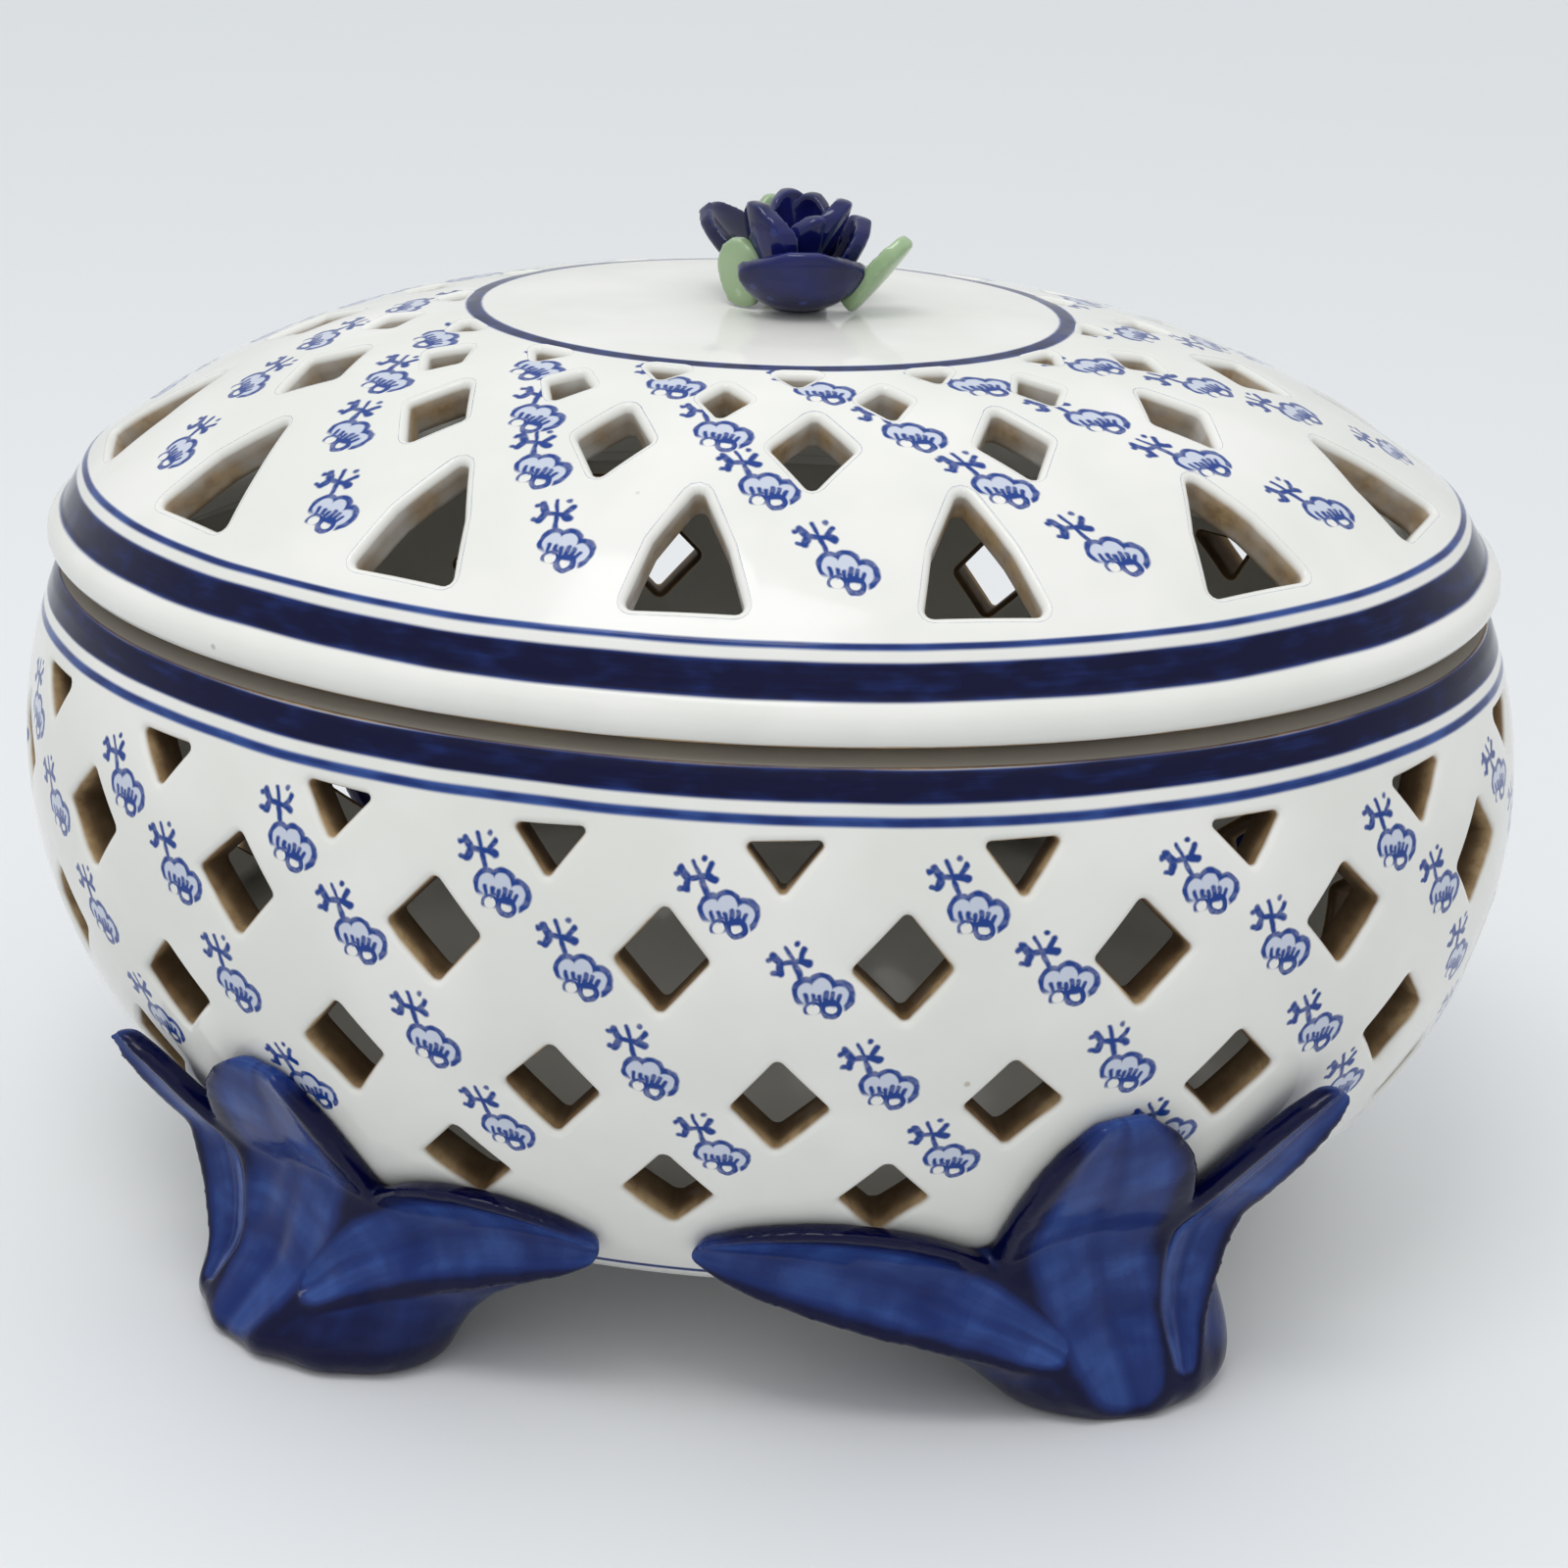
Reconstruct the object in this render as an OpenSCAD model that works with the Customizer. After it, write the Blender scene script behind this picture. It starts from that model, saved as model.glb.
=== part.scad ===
// Oval pierced potpourri bowl of glazed porcelain with a lift-off pierced lid,
// four leaf feet and a flower knob. Millimetres, +Z up, standing on z = 0,
// long axis along X, front towards -Y.

/* [Bowl] */
// Length of the bowl at its widest line
bowl_length = 203.8; // [170:0.2:240]
// Width of the bowl at its widest line
bowl_width = 155; // [130:0.5:185]
// Height of the widest line above the table
belly_z = 64.5; // [60:0.5:68]
// Radius of the side's curve, from the bottom edge to the rim
side_r = 64; // [60:0.5:72]
// Height of the rim corner above the table
rim_z = 91; // [84:0.5:100]
// Height of the underside above the table
base_z = 15.5; // [12:0.5:20]
// Thickness of the bowl wall
bowl_wall = 5.5; // [4:0.1:7]
// Thickness of the bowl floor
floor_t = 6; // [4:0.5:9]

/* [Rim and lid seat] */
// Rise of the sloping ledge from the rim corner to the flat seat
ledge_rise = 2.4; // [1:0.1:4]
// Run of the sloping ledge from the rim corner to the flat seat
ledge_run = 2.8; // [1:0.1:4]
// Width of the flat seat that the lid rests on
seat_w = 4; // [3:0.1:5.5]
// Depth of the straight mouth below the seat
mouth_depth = 8; // [6:0.5:12]
// Gap all round between the mouth and the lid flange
lid_clearance = 0.9; // [0.5:0.1:1.6]

/* [Lid] */
// How far the lid edge stands out past the rim corner
lid_overhang = 0.8; // [0:0.1:2]
// Radius of the white roll round the lid edge
roll_r = 2.9; // [2.2:0.1:3.6]
// Height of the painted band above the roll
band_h = 5.2; // [4:0.1:7]
// How far the painted band leans in over its height
band_lean = 3.1; // [2:0.1:5]
// Rise of the dome from the band to the crown
dome_rise = 22.1; // [16:0.1:28]
// Half length of the flat crown at the top of the dome
crown_half = 28; // [20:0.5:36]
// Thickness of the lid wall
lid_wall = 5; // [4:0.1:6.5]
// Width of the lid's solid edge, from the band to the inside
edge_w = 4.6; // [4.2:0.1:5.5]
// Thickness of the locating flange under the lid
flange_t = 3.2; // [2.5:0.1:4.5]
// Depth of the locating flange below the seat
flange_drop = 5.5; // [4:0.5:7]

/* [Pierced work] */
// Holes in each row round the bowl
bowl_columns = 20; // [16:2:24]
// Half width of a diamond hole in the bowl
hole_half_w = 6; // [4.5:0.1:7]
// Half height of a diamond hole in the bowl
hole_half_h = 6.9; // [5.5:0.1:7.5]
// Half width of a half diamond under the rim
half_row_half_w = 4.9; // [4:0.1:6]
// Half width of a diamond in the lower row
row_3_half_w = 5.5; // [4.5:0.1:6]
// Height of the flat tops of the half diamonds under the rim
half_row_z = 83.1; // [81:0.1:85]
// Drop of the half diamonds
half_row_drop = 6.6; // [5:0.1:7.5]
// Height of the upper row of diamonds
row_1_z = 68.3; // [66:0.1:70]
// Height of the middle row of diamonds
row_2_z = 49.3; // [48:0.1:51]
// Height of the lower row of diamonds
row_3_z = 34.6; // [33:0.1:36]
// Holes in each ring round the lid
lid_columns = 14; // [12:2:18]
// Half width of an outer triangle at its base
wedge_half_w = 7.1; // [6:0.1:7.6]
// Half length of the lid at the base of the outer triangles
wedge_ring = 87.8; // [86:0.1:88.5]
// Reach of an outer triangle from base to point, along the dome
wedge_reach = 18; // [15:0.1:19]
// Half length of the lid's middle ring of diamonds
lozenge_ring = 61.5; // [60:0.5:63]
// Half width of a diamond in the lid's middle ring
lozenge_half_w = 4.6; // [3.5:0.1:5.2]
// Half length of a diamond in the lid's middle ring
lozenge_half_l = 6.8; // [5:0.1:7.2]
// Half length of the lid's inner ring of diamonds
pip_ring = 50; // [49:0.5:51]
// Half width of a diamond in the lid's inner ring
pip_half_w = 2.9; // [2:0.1:3.4]
// Half length of a diamond in the lid's inner ring
pip_half_l = 3.6; // [2.5:0.1:4]
// Half width of a half diamond beside the plain panel
notch_half_w = 2.7; // [2:0.1:3.2]
// Length of a half diamond beside the plain panel
notch_l = 3.2; // [2:0.1:4]
// Half length of the plain panel on the lid
panel_half = 39.5; // [38:0.5:41]

/* [Leaf feet] */
// Angle of a foot round the bowl, from the front middle
foot_angle = 34.5; // [30:0.5:40]
// Reach of a foot's base towards the end of the bowl, from that angle
foot_end = 25; // [22:0.5:27]
// Reach of a right foot's base towards the front middle, from that angle
foot_front = 7; // [5:0.5:9]
// Reach of a left foot's base towards the front middle, from that angle
left_front = 16; // [14:0.5:19]
// Reach of the web below the long leaf towards the front middle
web_front = 33; // [28:0.5:36]
// How far a right foot stands out past the bowl's bottom edge at the table
foot_out = 15; // [11:0.5:18]
// How far a left foot stands out past the bowl's bottom edge at the table
left_out = 19; // [15:0.5:20]
// How far a foot reaches in under the bowl
foot_in = 9; // [6:0.5:12]
// Height of a foot up the bowl's side
foot_h = 25; // [22:0.5:28]
// Thickness of a leaf blade
blade_t = 4; // [3:0.1:5]
// Height of the roots of the leaves on the foot
root_z = 7; // [5:0.5:9]
// Height of the tip of the upright leaf
upright_tip_z = 47; // [43:0.5:48]
// Half width of the upright leaf
upright_half_w = 11.4; // [9:0.1:12]
// Reach of the long leaf along the front, from the middle of the foot
long_reach = 47.5; // [42:0.5:50]
// Height of the tip of the long leaf
long_tip_z = 25.5; // [23:0.5:28]
// Half width of the long leaf
long_half_w = 7.4; // [6:0.1:8.5]
// Length of the leaves on the left as a share of those on the right
left_share = 0.86; // [0.8:0.01:1]
// Reach of the end leaf round the end, from the middle of the foot
end_reach = 25; // [21:0.5:28]
// Height of the tip of the end leaf
end_tip_z = 46; // [42:0.5:48]
// Half width of the end leaf
end_half_w = 6; // [5:0.1:7]
// How far the tip of the end leaf curls away from the bowl
end_curl = 3; // [0:0.5:5]

/* [Flower knob] */
// Distance of the knob from the middle of the lid, along X
knob_x = 3.8; // [0:0.1:5]
// Radius of the knob's clay button
core_r = 3.9; // [3.2:0.1:5]
// Height of the knob's clay button
core_h = 8; // [6:0.5:10]
// Length of the front petal
petal_l = 11; // [9:0.5:12]
// Half width of the front petal
petal_half_w = 8.4; // [6.5:0.1:9]
// Thickness of a petal
petal_t = 2.3; // [1.8:0.1:2.6]
// Length of a green leaf
green_leaf_l = 13; // [10:0.5:15]
// Half width of a green leaf
green_leaf_half_w = 3.4; // [2.8:0.1:4]
// Thickness of a green leaf
green_leaf_t = 2; // [1.6:0.1:2.4]

/* [Fit] */
// Film of slip between a luted piece and what it sits on
lute = 0.25; // [0.15:0.05:0.4]

/* [Hidden] */
$fn = 96;

// Corners by name, with the mirrors that take a front right piece there
CORNERS = [["front_left", [1, 0]], ["front_right", [0, 0]], ["back_left", [1, 1]], ["back_right", [0, 1]]];

porcelain = "white";
cobalt = "midnightblue";
leaf_blue = "royalblue";
leaf_green = "darkseagreen";
arch_belly = 0.62; // half width of an arch at half its height, as a share of its base
past = 2; // how far a cutting tool runs past the faces it cuts
cut_walls = 1.6; // depth of a hole's cut in wall thicknesses, for walls cut at a slant

// Bowl: half length, half width and the curve of the side
belly_a = bowl_length / 2;
belly_b = bowl_width / 2;
oval = belly_b / belly_a;
side_a0 = belly_a - side_r; // half length at the centre of the side's curve
rim_a = side_a(rim_z);
base_a = side_a(base_z);
inner_oval = (belly_b - bowl_wall) / (belly_a - bowl_wall);
seat_z = rim_z + ledge_rise;
mouth_a = rim_a - ledge_run - seat_w;
mouth_b = rim_a * oval - ledge_run - seat_w;

// Lid: the edge roll, the painted band and the dome arc
lid_a = rim_a + lid_overhang;
roll_a = lid_a - roll_r;
roll_tuck = 0.3; // where the band starts on the roll, as a share of its radius
band_a = roll_a + roll_r * roll_tuck;
band_z = seat_z + roll_r * 2;
shoulder_a = band_a - band_lean;
shoulder_z = band_z + band_h;
crown_z = shoulder_z + dome_rise;
dome_run = shoulder_a - crown_half;
dome_r = (pow(dome_rise, 2) + pow(dome_run, 2)) / (2 * dome_rise);
dome_cz = crown_z - dome_r;
lid_in_a = shoulder_a - edge_w;
lid_inner_oval = (shoulder_a * oval - lid_wall) / (shoulder_a - lid_wall);
flange_a = mouth_a - lid_clearance;
flange_b = mouth_b - lid_clearance;

// Even spacing round the oval: the angle at which a share of its length is passed
spread = (1 - pow(oval, 2)) / (4 * (1 + pow(oval, 2))) * 180 / PI;
function even_angle(share) = share - spread * sin(2 * share);

// Side of the bowl: half length at a height, and how it changes with height
function side_a(z) = side_a0 + sqrt(pow(side_r, 2) - pow(z - belly_z, 2));
function side_slope(z) = -(z - belly_z) / sqrt(pow(side_r, 2) - pow(z - belly_z, 2));

// Top of the lid: height at a half length, and half length at a distance along the dome
function dome_z(a) = a < crown_half ? crown_z
    : dome_cz + sqrt(pow(dome_r, 2) - pow(a - crown_half, 2));
function dome_slope(a) = -(a - crown_half) / sqrt(pow(dome_r, 2) - pow(a - crown_half, 2));

// A point on an oval of a given half length, at an angle from the front middle
function oval_point(a, t, z) = [a * sin(t), -oval * a * cos(t), z];

function unit(v) = v / norm(v);

// Places children with their Z along the outward normal and their Y up the surface
module on_surface(p, outward) {
    n = unit(outward);
    u = unit([-n.y, n.x, 0]);
    v = cross(n, u);
    multmatrix([[u.x, v.x, n.x, p.x], [u.y, v.y, n.y, p.y], [u.z, v.z, n.z, p.z]]) children();
}

module at_side(t, z) {
    on_surface(oval_point(side_a(z), t, z), [sin(t), -cos(t) / oval, -side_slope(z)]) children();
}

module at_dome(t, a) {
    on_surface(oval_point(a, t, dome_z(a)), [-dome_slope(a) * sin(t), dome_slope(a) * cos(t) / oval, 1])
        children();
}

module through(depth) {
    translate([0, 0, -depth - past]) linear_extrude(depth + 2 * past) children();
}

module diamond(half_w, half_h) {
    polygon([[half_w, 0], [0, half_h], [-half_w, 0], [0, -half_h]]);
}

// Triangle with its flat side at the top and its point below
module drop(half_w, h) {
    polygon([[half_w, 0], [-half_w, 0], [0, -h]]);
}

// Pointed arch on a flat base, with sides that belly out
module arch(half_w, h) {
    belly = half_w * arch_belly;
    polygon([[half_w, 0], [belly, h * 0.5], [0, h], [-belly, h * 0.5], [-half_w, 0]]);
}

// Oval body turned from a half section, in four quarter turns
module turned(ratio) {
    for (quarter = [0 : 3])
        scale([1, ratio, 1]) rotate(90 * quarter) rotate_extrude(angle = 90) children();
}

// Half section between two heights, bounded by the side's curve set in by a wall
module side_section(inset, low, high) {
    intersection() {
        union() {
            translate([side_a0, belly_z]) circle(side_r - inset);
            translate([0, low]) square([side_a0, high - low]);
        }
        translate([0, low]) square([belly_a + past, high - low]);
    }
}

// The rim corner is where the sloping ledge meets the side's curve
module bowl_outline() {
    edge_a = belly_a + past;
    edge_z = rim_z - (edge_a - rim_a) * ledge_rise / ledge_run;
    intersection() {
        side_section(0, base_z, seat_z);
        polygon([[0, base_z - past], [edge_a, base_z - past], [edge_a, edge_z],
            [rim_a - ledge_run, seat_z], [rim_a - ledge_run, seat_z + past], [0, seat_z + past]]);
    }
}

module bowl_holes() {
    step = 360 / bowl_columns;
    depth = bowl_wall * cut_walls;
    for (i = [0 : bowl_columns - 1]) {
        on_step = even_angle(i * step);
        off_step = even_angle((i + 0.5) * step);
        at_side(off_step, half_row_z) through(depth) drop(half_row_half_w, half_row_drop);
        at_side(on_step, row_1_z) through(depth) diamond(hole_half_w, hole_half_h);
        at_side(off_step, row_2_z) through(depth) diamond(hole_half_w, hole_half_h);
        at_side(on_step, row_3_z) through(depth) diamond(row_3_half_w, hole_half_h);
    }
}

module bowl() {
    color(porcelain) difference() {
        turned(oval) bowl_outline();
        turned(inner_oval) side_section(bowl_wall, base_z + floor_t, seat_z - mouth_depth);
        translate([0, 0, seat_z - mouth_depth - past]) scale([1, mouth_b / mouth_a, 1])
            cylinder(h = mouth_depth + 2 * past, r = mouth_a);
        bowl_holes();
    }
}

// Half section of the lid's outside: dome, leaning band and edge roll
module lid_outline() {
    intersection() {
        union() {
            translate([crown_half, dome_cz]) circle(dome_r);
            translate([0, seat_z]) square([crown_half, crown_z - seat_z]);
        }
        polygon([[0, seat_z], [roll_a, seat_z], [band_a, band_z], [shoulder_a, shoulder_z],
            [shoulder_a, crown_z + past], [0, crown_z + past]]);
    }
    translate([roll_a, seat_z + roll_r]) circle(roll_r);
}

// Half section of the hollow under the dome
module lid_hollow() {
    intersection() {
        union() {
            translate([crown_half, dome_cz]) circle(dome_r - lid_wall);
            translate([0, seat_z - past]) square([crown_half, crown_z - lid_wall - seat_z + past]);
        }
        translate([0, seat_z - past]) square([lid_in_a, crown_z - seat_z]);
    }
}

module lid_holes() {
    step = 360 / lid_columns;
    depth = lid_wall * cut_walls;
    notch_set = 1.5; // how far a notch's flat side lies outside the panel
    for (i = [0 : lid_columns - 1]) {
        on_step = even_angle(i * step);
        off_step = even_angle((i + 0.5) * step);
        at_dome(on_step, wedge_ring) through(depth) arch(wedge_half_w, wedge_reach);
        at_dome(off_step, lozenge_ring) through(depth) diamond(lozenge_half_w, lozenge_half_l);
        at_dome(on_step, pip_ring) through(depth) diamond(pip_half_w, pip_half_l);
        at_dome(off_step, panel_half + notch_set) through(depth) drop(notch_half_w, notch_l);
    }
}

module lid() {
    color(porcelain) difference() {
        union() {
            turned(oval) lid_outline();
            translate([0, 0, seat_z - flange_drop]) scale([1, flange_b / flange_a, 1])
                cylinder(h = flange_drop + roll_r, r = flange_a);
        }
        turned(lid_inner_oval) lid_hollow();
        translate([0, 0, seat_z - flange_drop - past])
            scale([1, (flange_b - flange_t) / (flange_a - flange_t), 1])
                cylinder(h = flange_drop + past + roll_r, r = flange_a - flange_t);
        lid_holes();
    }
}

// Closed solid between two grids of points, each a list of rows
module sheet(outer, inner) {
    rows = len(outer);
    cols = len(outer[0]);
    count = rows * cols;
    points = concat([for (row = outer) for (p = row) p], [for (row = inner) for (p = row) p]);
    function at(i, j) = i * cols + j;
    quads = [for (i = [0 : rows - 2]) for (j = [0 : cols - 2])
        [at(i, j), at(i, j + 1), at(i + 1, j + 1), at(i + 1, j)]];
    border = concat(
        [for (j = [0 : cols - 2]) [at(0, j), at(0, j + 1)]],
        [for (i = [0 : rows - 2]) [at(i, cols - 1), at(i + 1, cols - 1)]],
        [for (j = [cols - 1 : -1 : 1]) [at(rows - 1, j), at(rows - 1, j - 1)]],
        [for (i = [rows - 1 : -1 : 1]) [at(i, 0), at(i - 1, 0)]]);
    polyhedron(points, concat(
        [for (q = quads) each [[q[0], q[1], q[2]], [q[0], q[2], q[3]]]],
        [for (q = quads) each [[q[2] + count, q[1] + count, q[0] + count],
            [q[3] + count, q[2] + count, q[0] + count]]],
        [for (b = border) each [[b[1], b[0], b[0] + count], [b[1], b[0] + count, b[1] + count]]]));
}

// Face of a foot below the bowl's curve: flares out towards the table
face_join_z = 24; // height where the flared face runs into the bowl's side
foot_skin = 1.6; // how far a foot's top stands out from the bowl's side
face_share = 0.45; // share of the foot's reach that the leaves' roots follow
foot_normal = unit([sin(foot_angle), -cos(foot_angle) / oval, 0]);
foot_along = [-foot_normal.y, foot_normal.x, 0];
foot_origin = oval_point(base_a, foot_angle, 0);
foot_stretch = norm([cos(foot_angle), oval * sin(foot_angle)]); // length round the oval for one radian
face_flare = foot_out / norm([sin(foot_angle) * oval, cos(foot_angle)]) * face_share;
function face_a(z) = z > face_join_z ? side_a(z)
    : side_a(face_join_z) + face_flare * pow(1 - z / face_join_z, 2);

side_rise = side_a(face_join_z) - base_a; // how far the bowl's side leans out behind a foot

// Rings of a foot: [height, share of the way from base to web, share of the end reach, outward reach]
function foot_rings(out) = [[0, -0.06, 0.92, out * 0.88], [foot_h * 0.04, -0.02, 0.98, out * 0.96],
    [foot_h * 0.14, 0.06, 1, out], [foot_h * 0.3, 0.22, 0.98, foot_out * 0.4 + out * 0.54],
    [foot_h * 0.46, 0.52, 0.94, foot_out * 0.31 + side_rise],
    [base_z - lute * 2, 1, 0.9, foot_out * 0.26 + side_rise],
    [base_z - lute, 1, 0.9, foot_out * 0.26 + side_rise],
    [foot_h * 0.78, 0.7, 0.78, foot_out * 0.21 + side_rise],
    [foot_h * 0.89, 0.45, 0.7, foot_out * 0.19 + side_rise],
    [foot_h, 0.2, 0.6, side_a(foot_h) - base_a + foot_skin]];

// Point of a foot: runs round with the bowl towards the front, straight on towards the end
function foot_point(u, w, z) = u > 0 ? foot_origin + foot_along * u + foot_normal * w + [0, 0, z]
    : let (t = foot_angle + u / (base_a * foot_stretch) * 180 / PI)
        oval_point(base_a, t, z) + unit([sin(t), -cos(t) / oval, 0]) * w;

// Keeps a foot's point clear of the bowl's side, where the side is beside it
function clear_of_side(p) =
    let (a = norm([p.x, p.y / oval]), least = side_a(max(p.z, base_z)) + lute)
    (p.z < base_z - lute * 1.5 || a > least) ? p : [p.x * least / a, p.y * least / a, p.z];

module foot(share, toe, out) {
    sides = 28;
    rings = foot_rings(out);
    rows = len(rings);
    points = [for (ring = rings) for (j = [0 : sides - 1])
        let (s = 360 * j / sides,
             front = toe + (web_front * share - toe) * ring[1],
             end = foot_end * share * ring[2],
             w = (ring[3] - foot_in) / 2 + (ring[3] + foot_in) / 2 * sin(s),
             u = (end - front) / 2 + (end + front) / 2 * cos(s))
        clear_of_side(foot_point(u, w, ring[0]))];
    bottom = [for (j = [sides - 1 : -1 : 0]) j];
    top = [for (j = [0 : sides - 1]) (rows - 1) * sides + j];
    walls = [for (i = [0 : rows - 2]) for (j = [0 : sides - 1])
        let (a = i * sides + j, b = i * sides + (j + 1) % sides)
        each [[a, b, a + sides], [b, b + sides, a + sides]]];
    color(cobalt) polyhedron(points, concat([bottom], walls, [top]));
}

// Blade laid on the bowl's side along a line of [along, height] points, with a half width
function bend(line, s) = pow(1 - s, 2) * line[0] + 2 * s * (1 - s) * line[1] + pow(s, 2) * line[2];
function along_to_angle(u, z) = foot_angle
    + u / (face_a(z) * foot_stretch) * 180 / PI;
function blade_width(s, root, blunt) = pow(sin(180 * pow(root + (1 - root) * s, blunt)), 0.5);

module blade(line, half_w, root, blunt, lift) {
    rows = 13;
    cols = 7;
    function place(s, v, off) =
        let (c = bend(line, s), d = unit(bend(line, s + 0.01) - bend(line, s - 0.01)),
             q = c + v * half_w * max(blade_width(s, root, blunt), 0.12) * [d.y, -d.x],
             a = face_a(q.y) + lute + off)
        oval_point(a, along_to_angle(q.x, q.y), q.y);
    function share(i) = i / (rows - 1) * 0.985;
    function across(j) = 2 * j / (cols - 1) - 1;
    grid_out = [for (i = [0 : rows - 1]) [for (j = [0 : cols - 1])
        place(share(i), across(j), lift * pow(share(i), 2) + blade_t * (0.75 + 0.25 * pow(across(j), 2)))]];
    grid_in = [for (i = [0 : rows - 1]) [for (j = [0 : cols - 1])
        place(share(i), across(j), lift * pow(share(i), 2))]];
    sheet(grid_in, grid_out);
}

// Lines of the leaves: [along the foot, height] at the root, the bend and the tip
function upright_line(tip_z) = [[upright_half_w * 0.2, root_z], [-upright_half_w * 0.1, tip_z * 0.5],
    [-upright_half_w * 0.36, tip_z]];
function long_line(share) = [[-long_half_w, root_z * 1.7],
    [-long_reach * share * 0.55, long_tip_z * (1.45 - 0.45 * share)],
    [-long_reach * share, long_tip_z * (0.3 + 0.7 * share)]];
function end_line(share) = [[end_half_w * 1.8, root_z], [end_reach * share * 0.5, end_tip_z * share * 0.6],
    [end_reach * share, end_tip_z * share]];

module upright_leaf(share) {
    tip_z = upright_tip_z * (1 + share) / 2;
    color(leaf_blue) blade(upright_line(tip_z), upright_half_w, root = 0.34, blunt = 1.9, lift = 0);
}

module long_leaf(share) {
    color(leaf_blue) blade(long_line(share), long_half_w, root = 0.14, blunt = 1.2, lift = 0);
}

module end_leaf(share) {
    color(leaf_blue) blade(end_line(share), end_half_w, root = 0.1, blunt = 1.2, lift = end_curl);
}

// Mirrors a front right piece to its own corner
module to_corner(corner) {
    mirror([corner.x, 0, 0]) mirror([0, corner.y, 0]) children();
}

// Petal or leaf that grows from the knob: rooted round it, facing outwards, leaning out, cupped
module petal(turn, face, r0, z0, l, half_w, t, lean_0, lean_1, cup, point) {
    rows = 8;
    cols = 7;
    steps = 16;
    function lean(s) = lean_0 + (lean_1 - lean_0) * s;
    function run(s) = [for (i = [0 : steps - 1]) s / steps * l * [sin(lean(s * (i + 0.5) / steps)),
        cos(lean(s * (i + 0.5) / steps))]];
    function total(v, i = 0) = i == len(v) ? [0, 0] : v[i] + total(v, i + 1);
    function width(s) = half_w * pow(sin(180 * (0.1 + 0.9 * pow(s, point))), 0.55);
    function place(s, v, off) =
        let (m = total(run(s)), y = v * max(width(s), half_w * 0.14),
             h = off + cup * pow(y, 2) / half_w, n = [-cos(lean(s)), sin(lean(s))])
        [m.x + n.x * h, y, z0 + m.y + n.y * h];
    function share(i) = i / (rows - 1) * 0.98;
    function across(j) = 2 * j / (cols - 1) - 1;
    translate([knob_x + r0 * cos(turn), r0 * sin(turn), crown_z]) rotate(face) sheet(
        [for (i = [0 : rows - 1]) [for (j = [0 : cols - 1]) place(share(i), across(j), t)]],
        [for (i = [0 : rows - 1]) [for (j = [0 : cols - 1]) place(share(i), across(j), 0)]]);
}

module knob_core() {
    waist_z = core_h * 0.55;
    waist_r = core_r * 0.9;
    tip_r = core_r * 0.35;
    color(cobalt) translate([knob_x, 0, crown_z]) {
        cylinder(h = waist_z, r1 = core_r, r2 = waist_r);
        translate([0, 0, waist_z]) cylinder(h = core_h - waist_z, r1 = waist_r, r2 = tip_r);
    }
}

// Petals: [root turn, facing turn, share of the core's radius, share of its height,
//     share of length, share of half width, lean at the root, lean at the tip]
OUTER = [[-80, -78, 0.86, 0.02, 1.24, 1, 84, -6], [32, 30, 0.86, 0.14, 1.12, 0.52, 52, 16],
    [92, 92, 0.86, 0.14, 1.14, 0.6, 46, 8], [160, 152, 0.86, 0.16, 1.46, 0.56, 68, 36],
    [-150, -146, 0.95, 0.34, 1.14, 0.66, 38, -6]];
INNER = [[-52, -48, 0.59, 0.6, 0.8, 0.4, 40, 0], [0, -4, 0.59, 0.64, 0.94, 0.42, 40, 14],
    [66, 70, 0.53, 0.7, 0.86, 0.42, 28, -2], [126, 120, 0.53, 0.7, 0.9, 0.42, 32, 2]];
GREEN = [[-163, -120, 2.02, 0.02, 0.72, 1.1, 14, 0], [-13, -16, 2, 0.02, 0.98, 1, 44, 34],
    [118, 118, 1.77, 0.02, 1.06, 1, 36, 12]];

outer_point = 1.3; // how near the tip an outer petal is widest
inner_point = 1.2; // the same for an inner petal and a green leaf

module flower_piece(row, l, half_w, t, cup, point) {
    petal(turn = row[0], face = row[1], r0 = core_r * row[2], z0 = core_h * row[3], l = l * row[4],
        half_w = half_w * row[5], t = t, lean_0 = row[6], lean_1 = row[7], cup = cup, point = point);
}

module outer_petal(i) {
    color(cobalt) flower_piece(OUTER[i - 1], petal_l, petal_half_w, petal_t, cup = 0.36, point = outer_point);
}

module inner_petal(i) {
    color(cobalt) flower_piece(INNER[i - 1], petal_l, petal_half_w, petal_t, cup = 0.42, point = inner_point);
}

module green_leaf(i) {
    color(leaf_green)
        flower_piece(GREEN[i - 1], green_leaf_l, green_leaf_half_w, green_leaf_t, cup = 0.2,
            point = inner_point);
}

bowl();
lid();
knob_core();
for (c = CORNERS) {
    left = c[1].x == 1;
    share = left ? left_share : 1;
    to_corner(c[1]) foot(share, left ? left_front : foot_front, left ? left_out : foot_out);
    to_corner(c[1]) upright_leaf(share);
    to_corner(c[1]) long_leaf(share);
    to_corner(c[1]) end_leaf(share);
}
for (i = [1 : 5]) outer_petal(i);
for (i = [1 : 4]) inner_petal(i);
for (i = [1 : 3]) green_leaf(i);
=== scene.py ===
from math import asin, atan2, cos, degrees, pi, radians, sin, sqrt
import bmesh
import bpy
import numpy as np
from mathutils import Matrix, Vector
from mathutils.geometry import delaunay_2d_cdt


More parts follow.
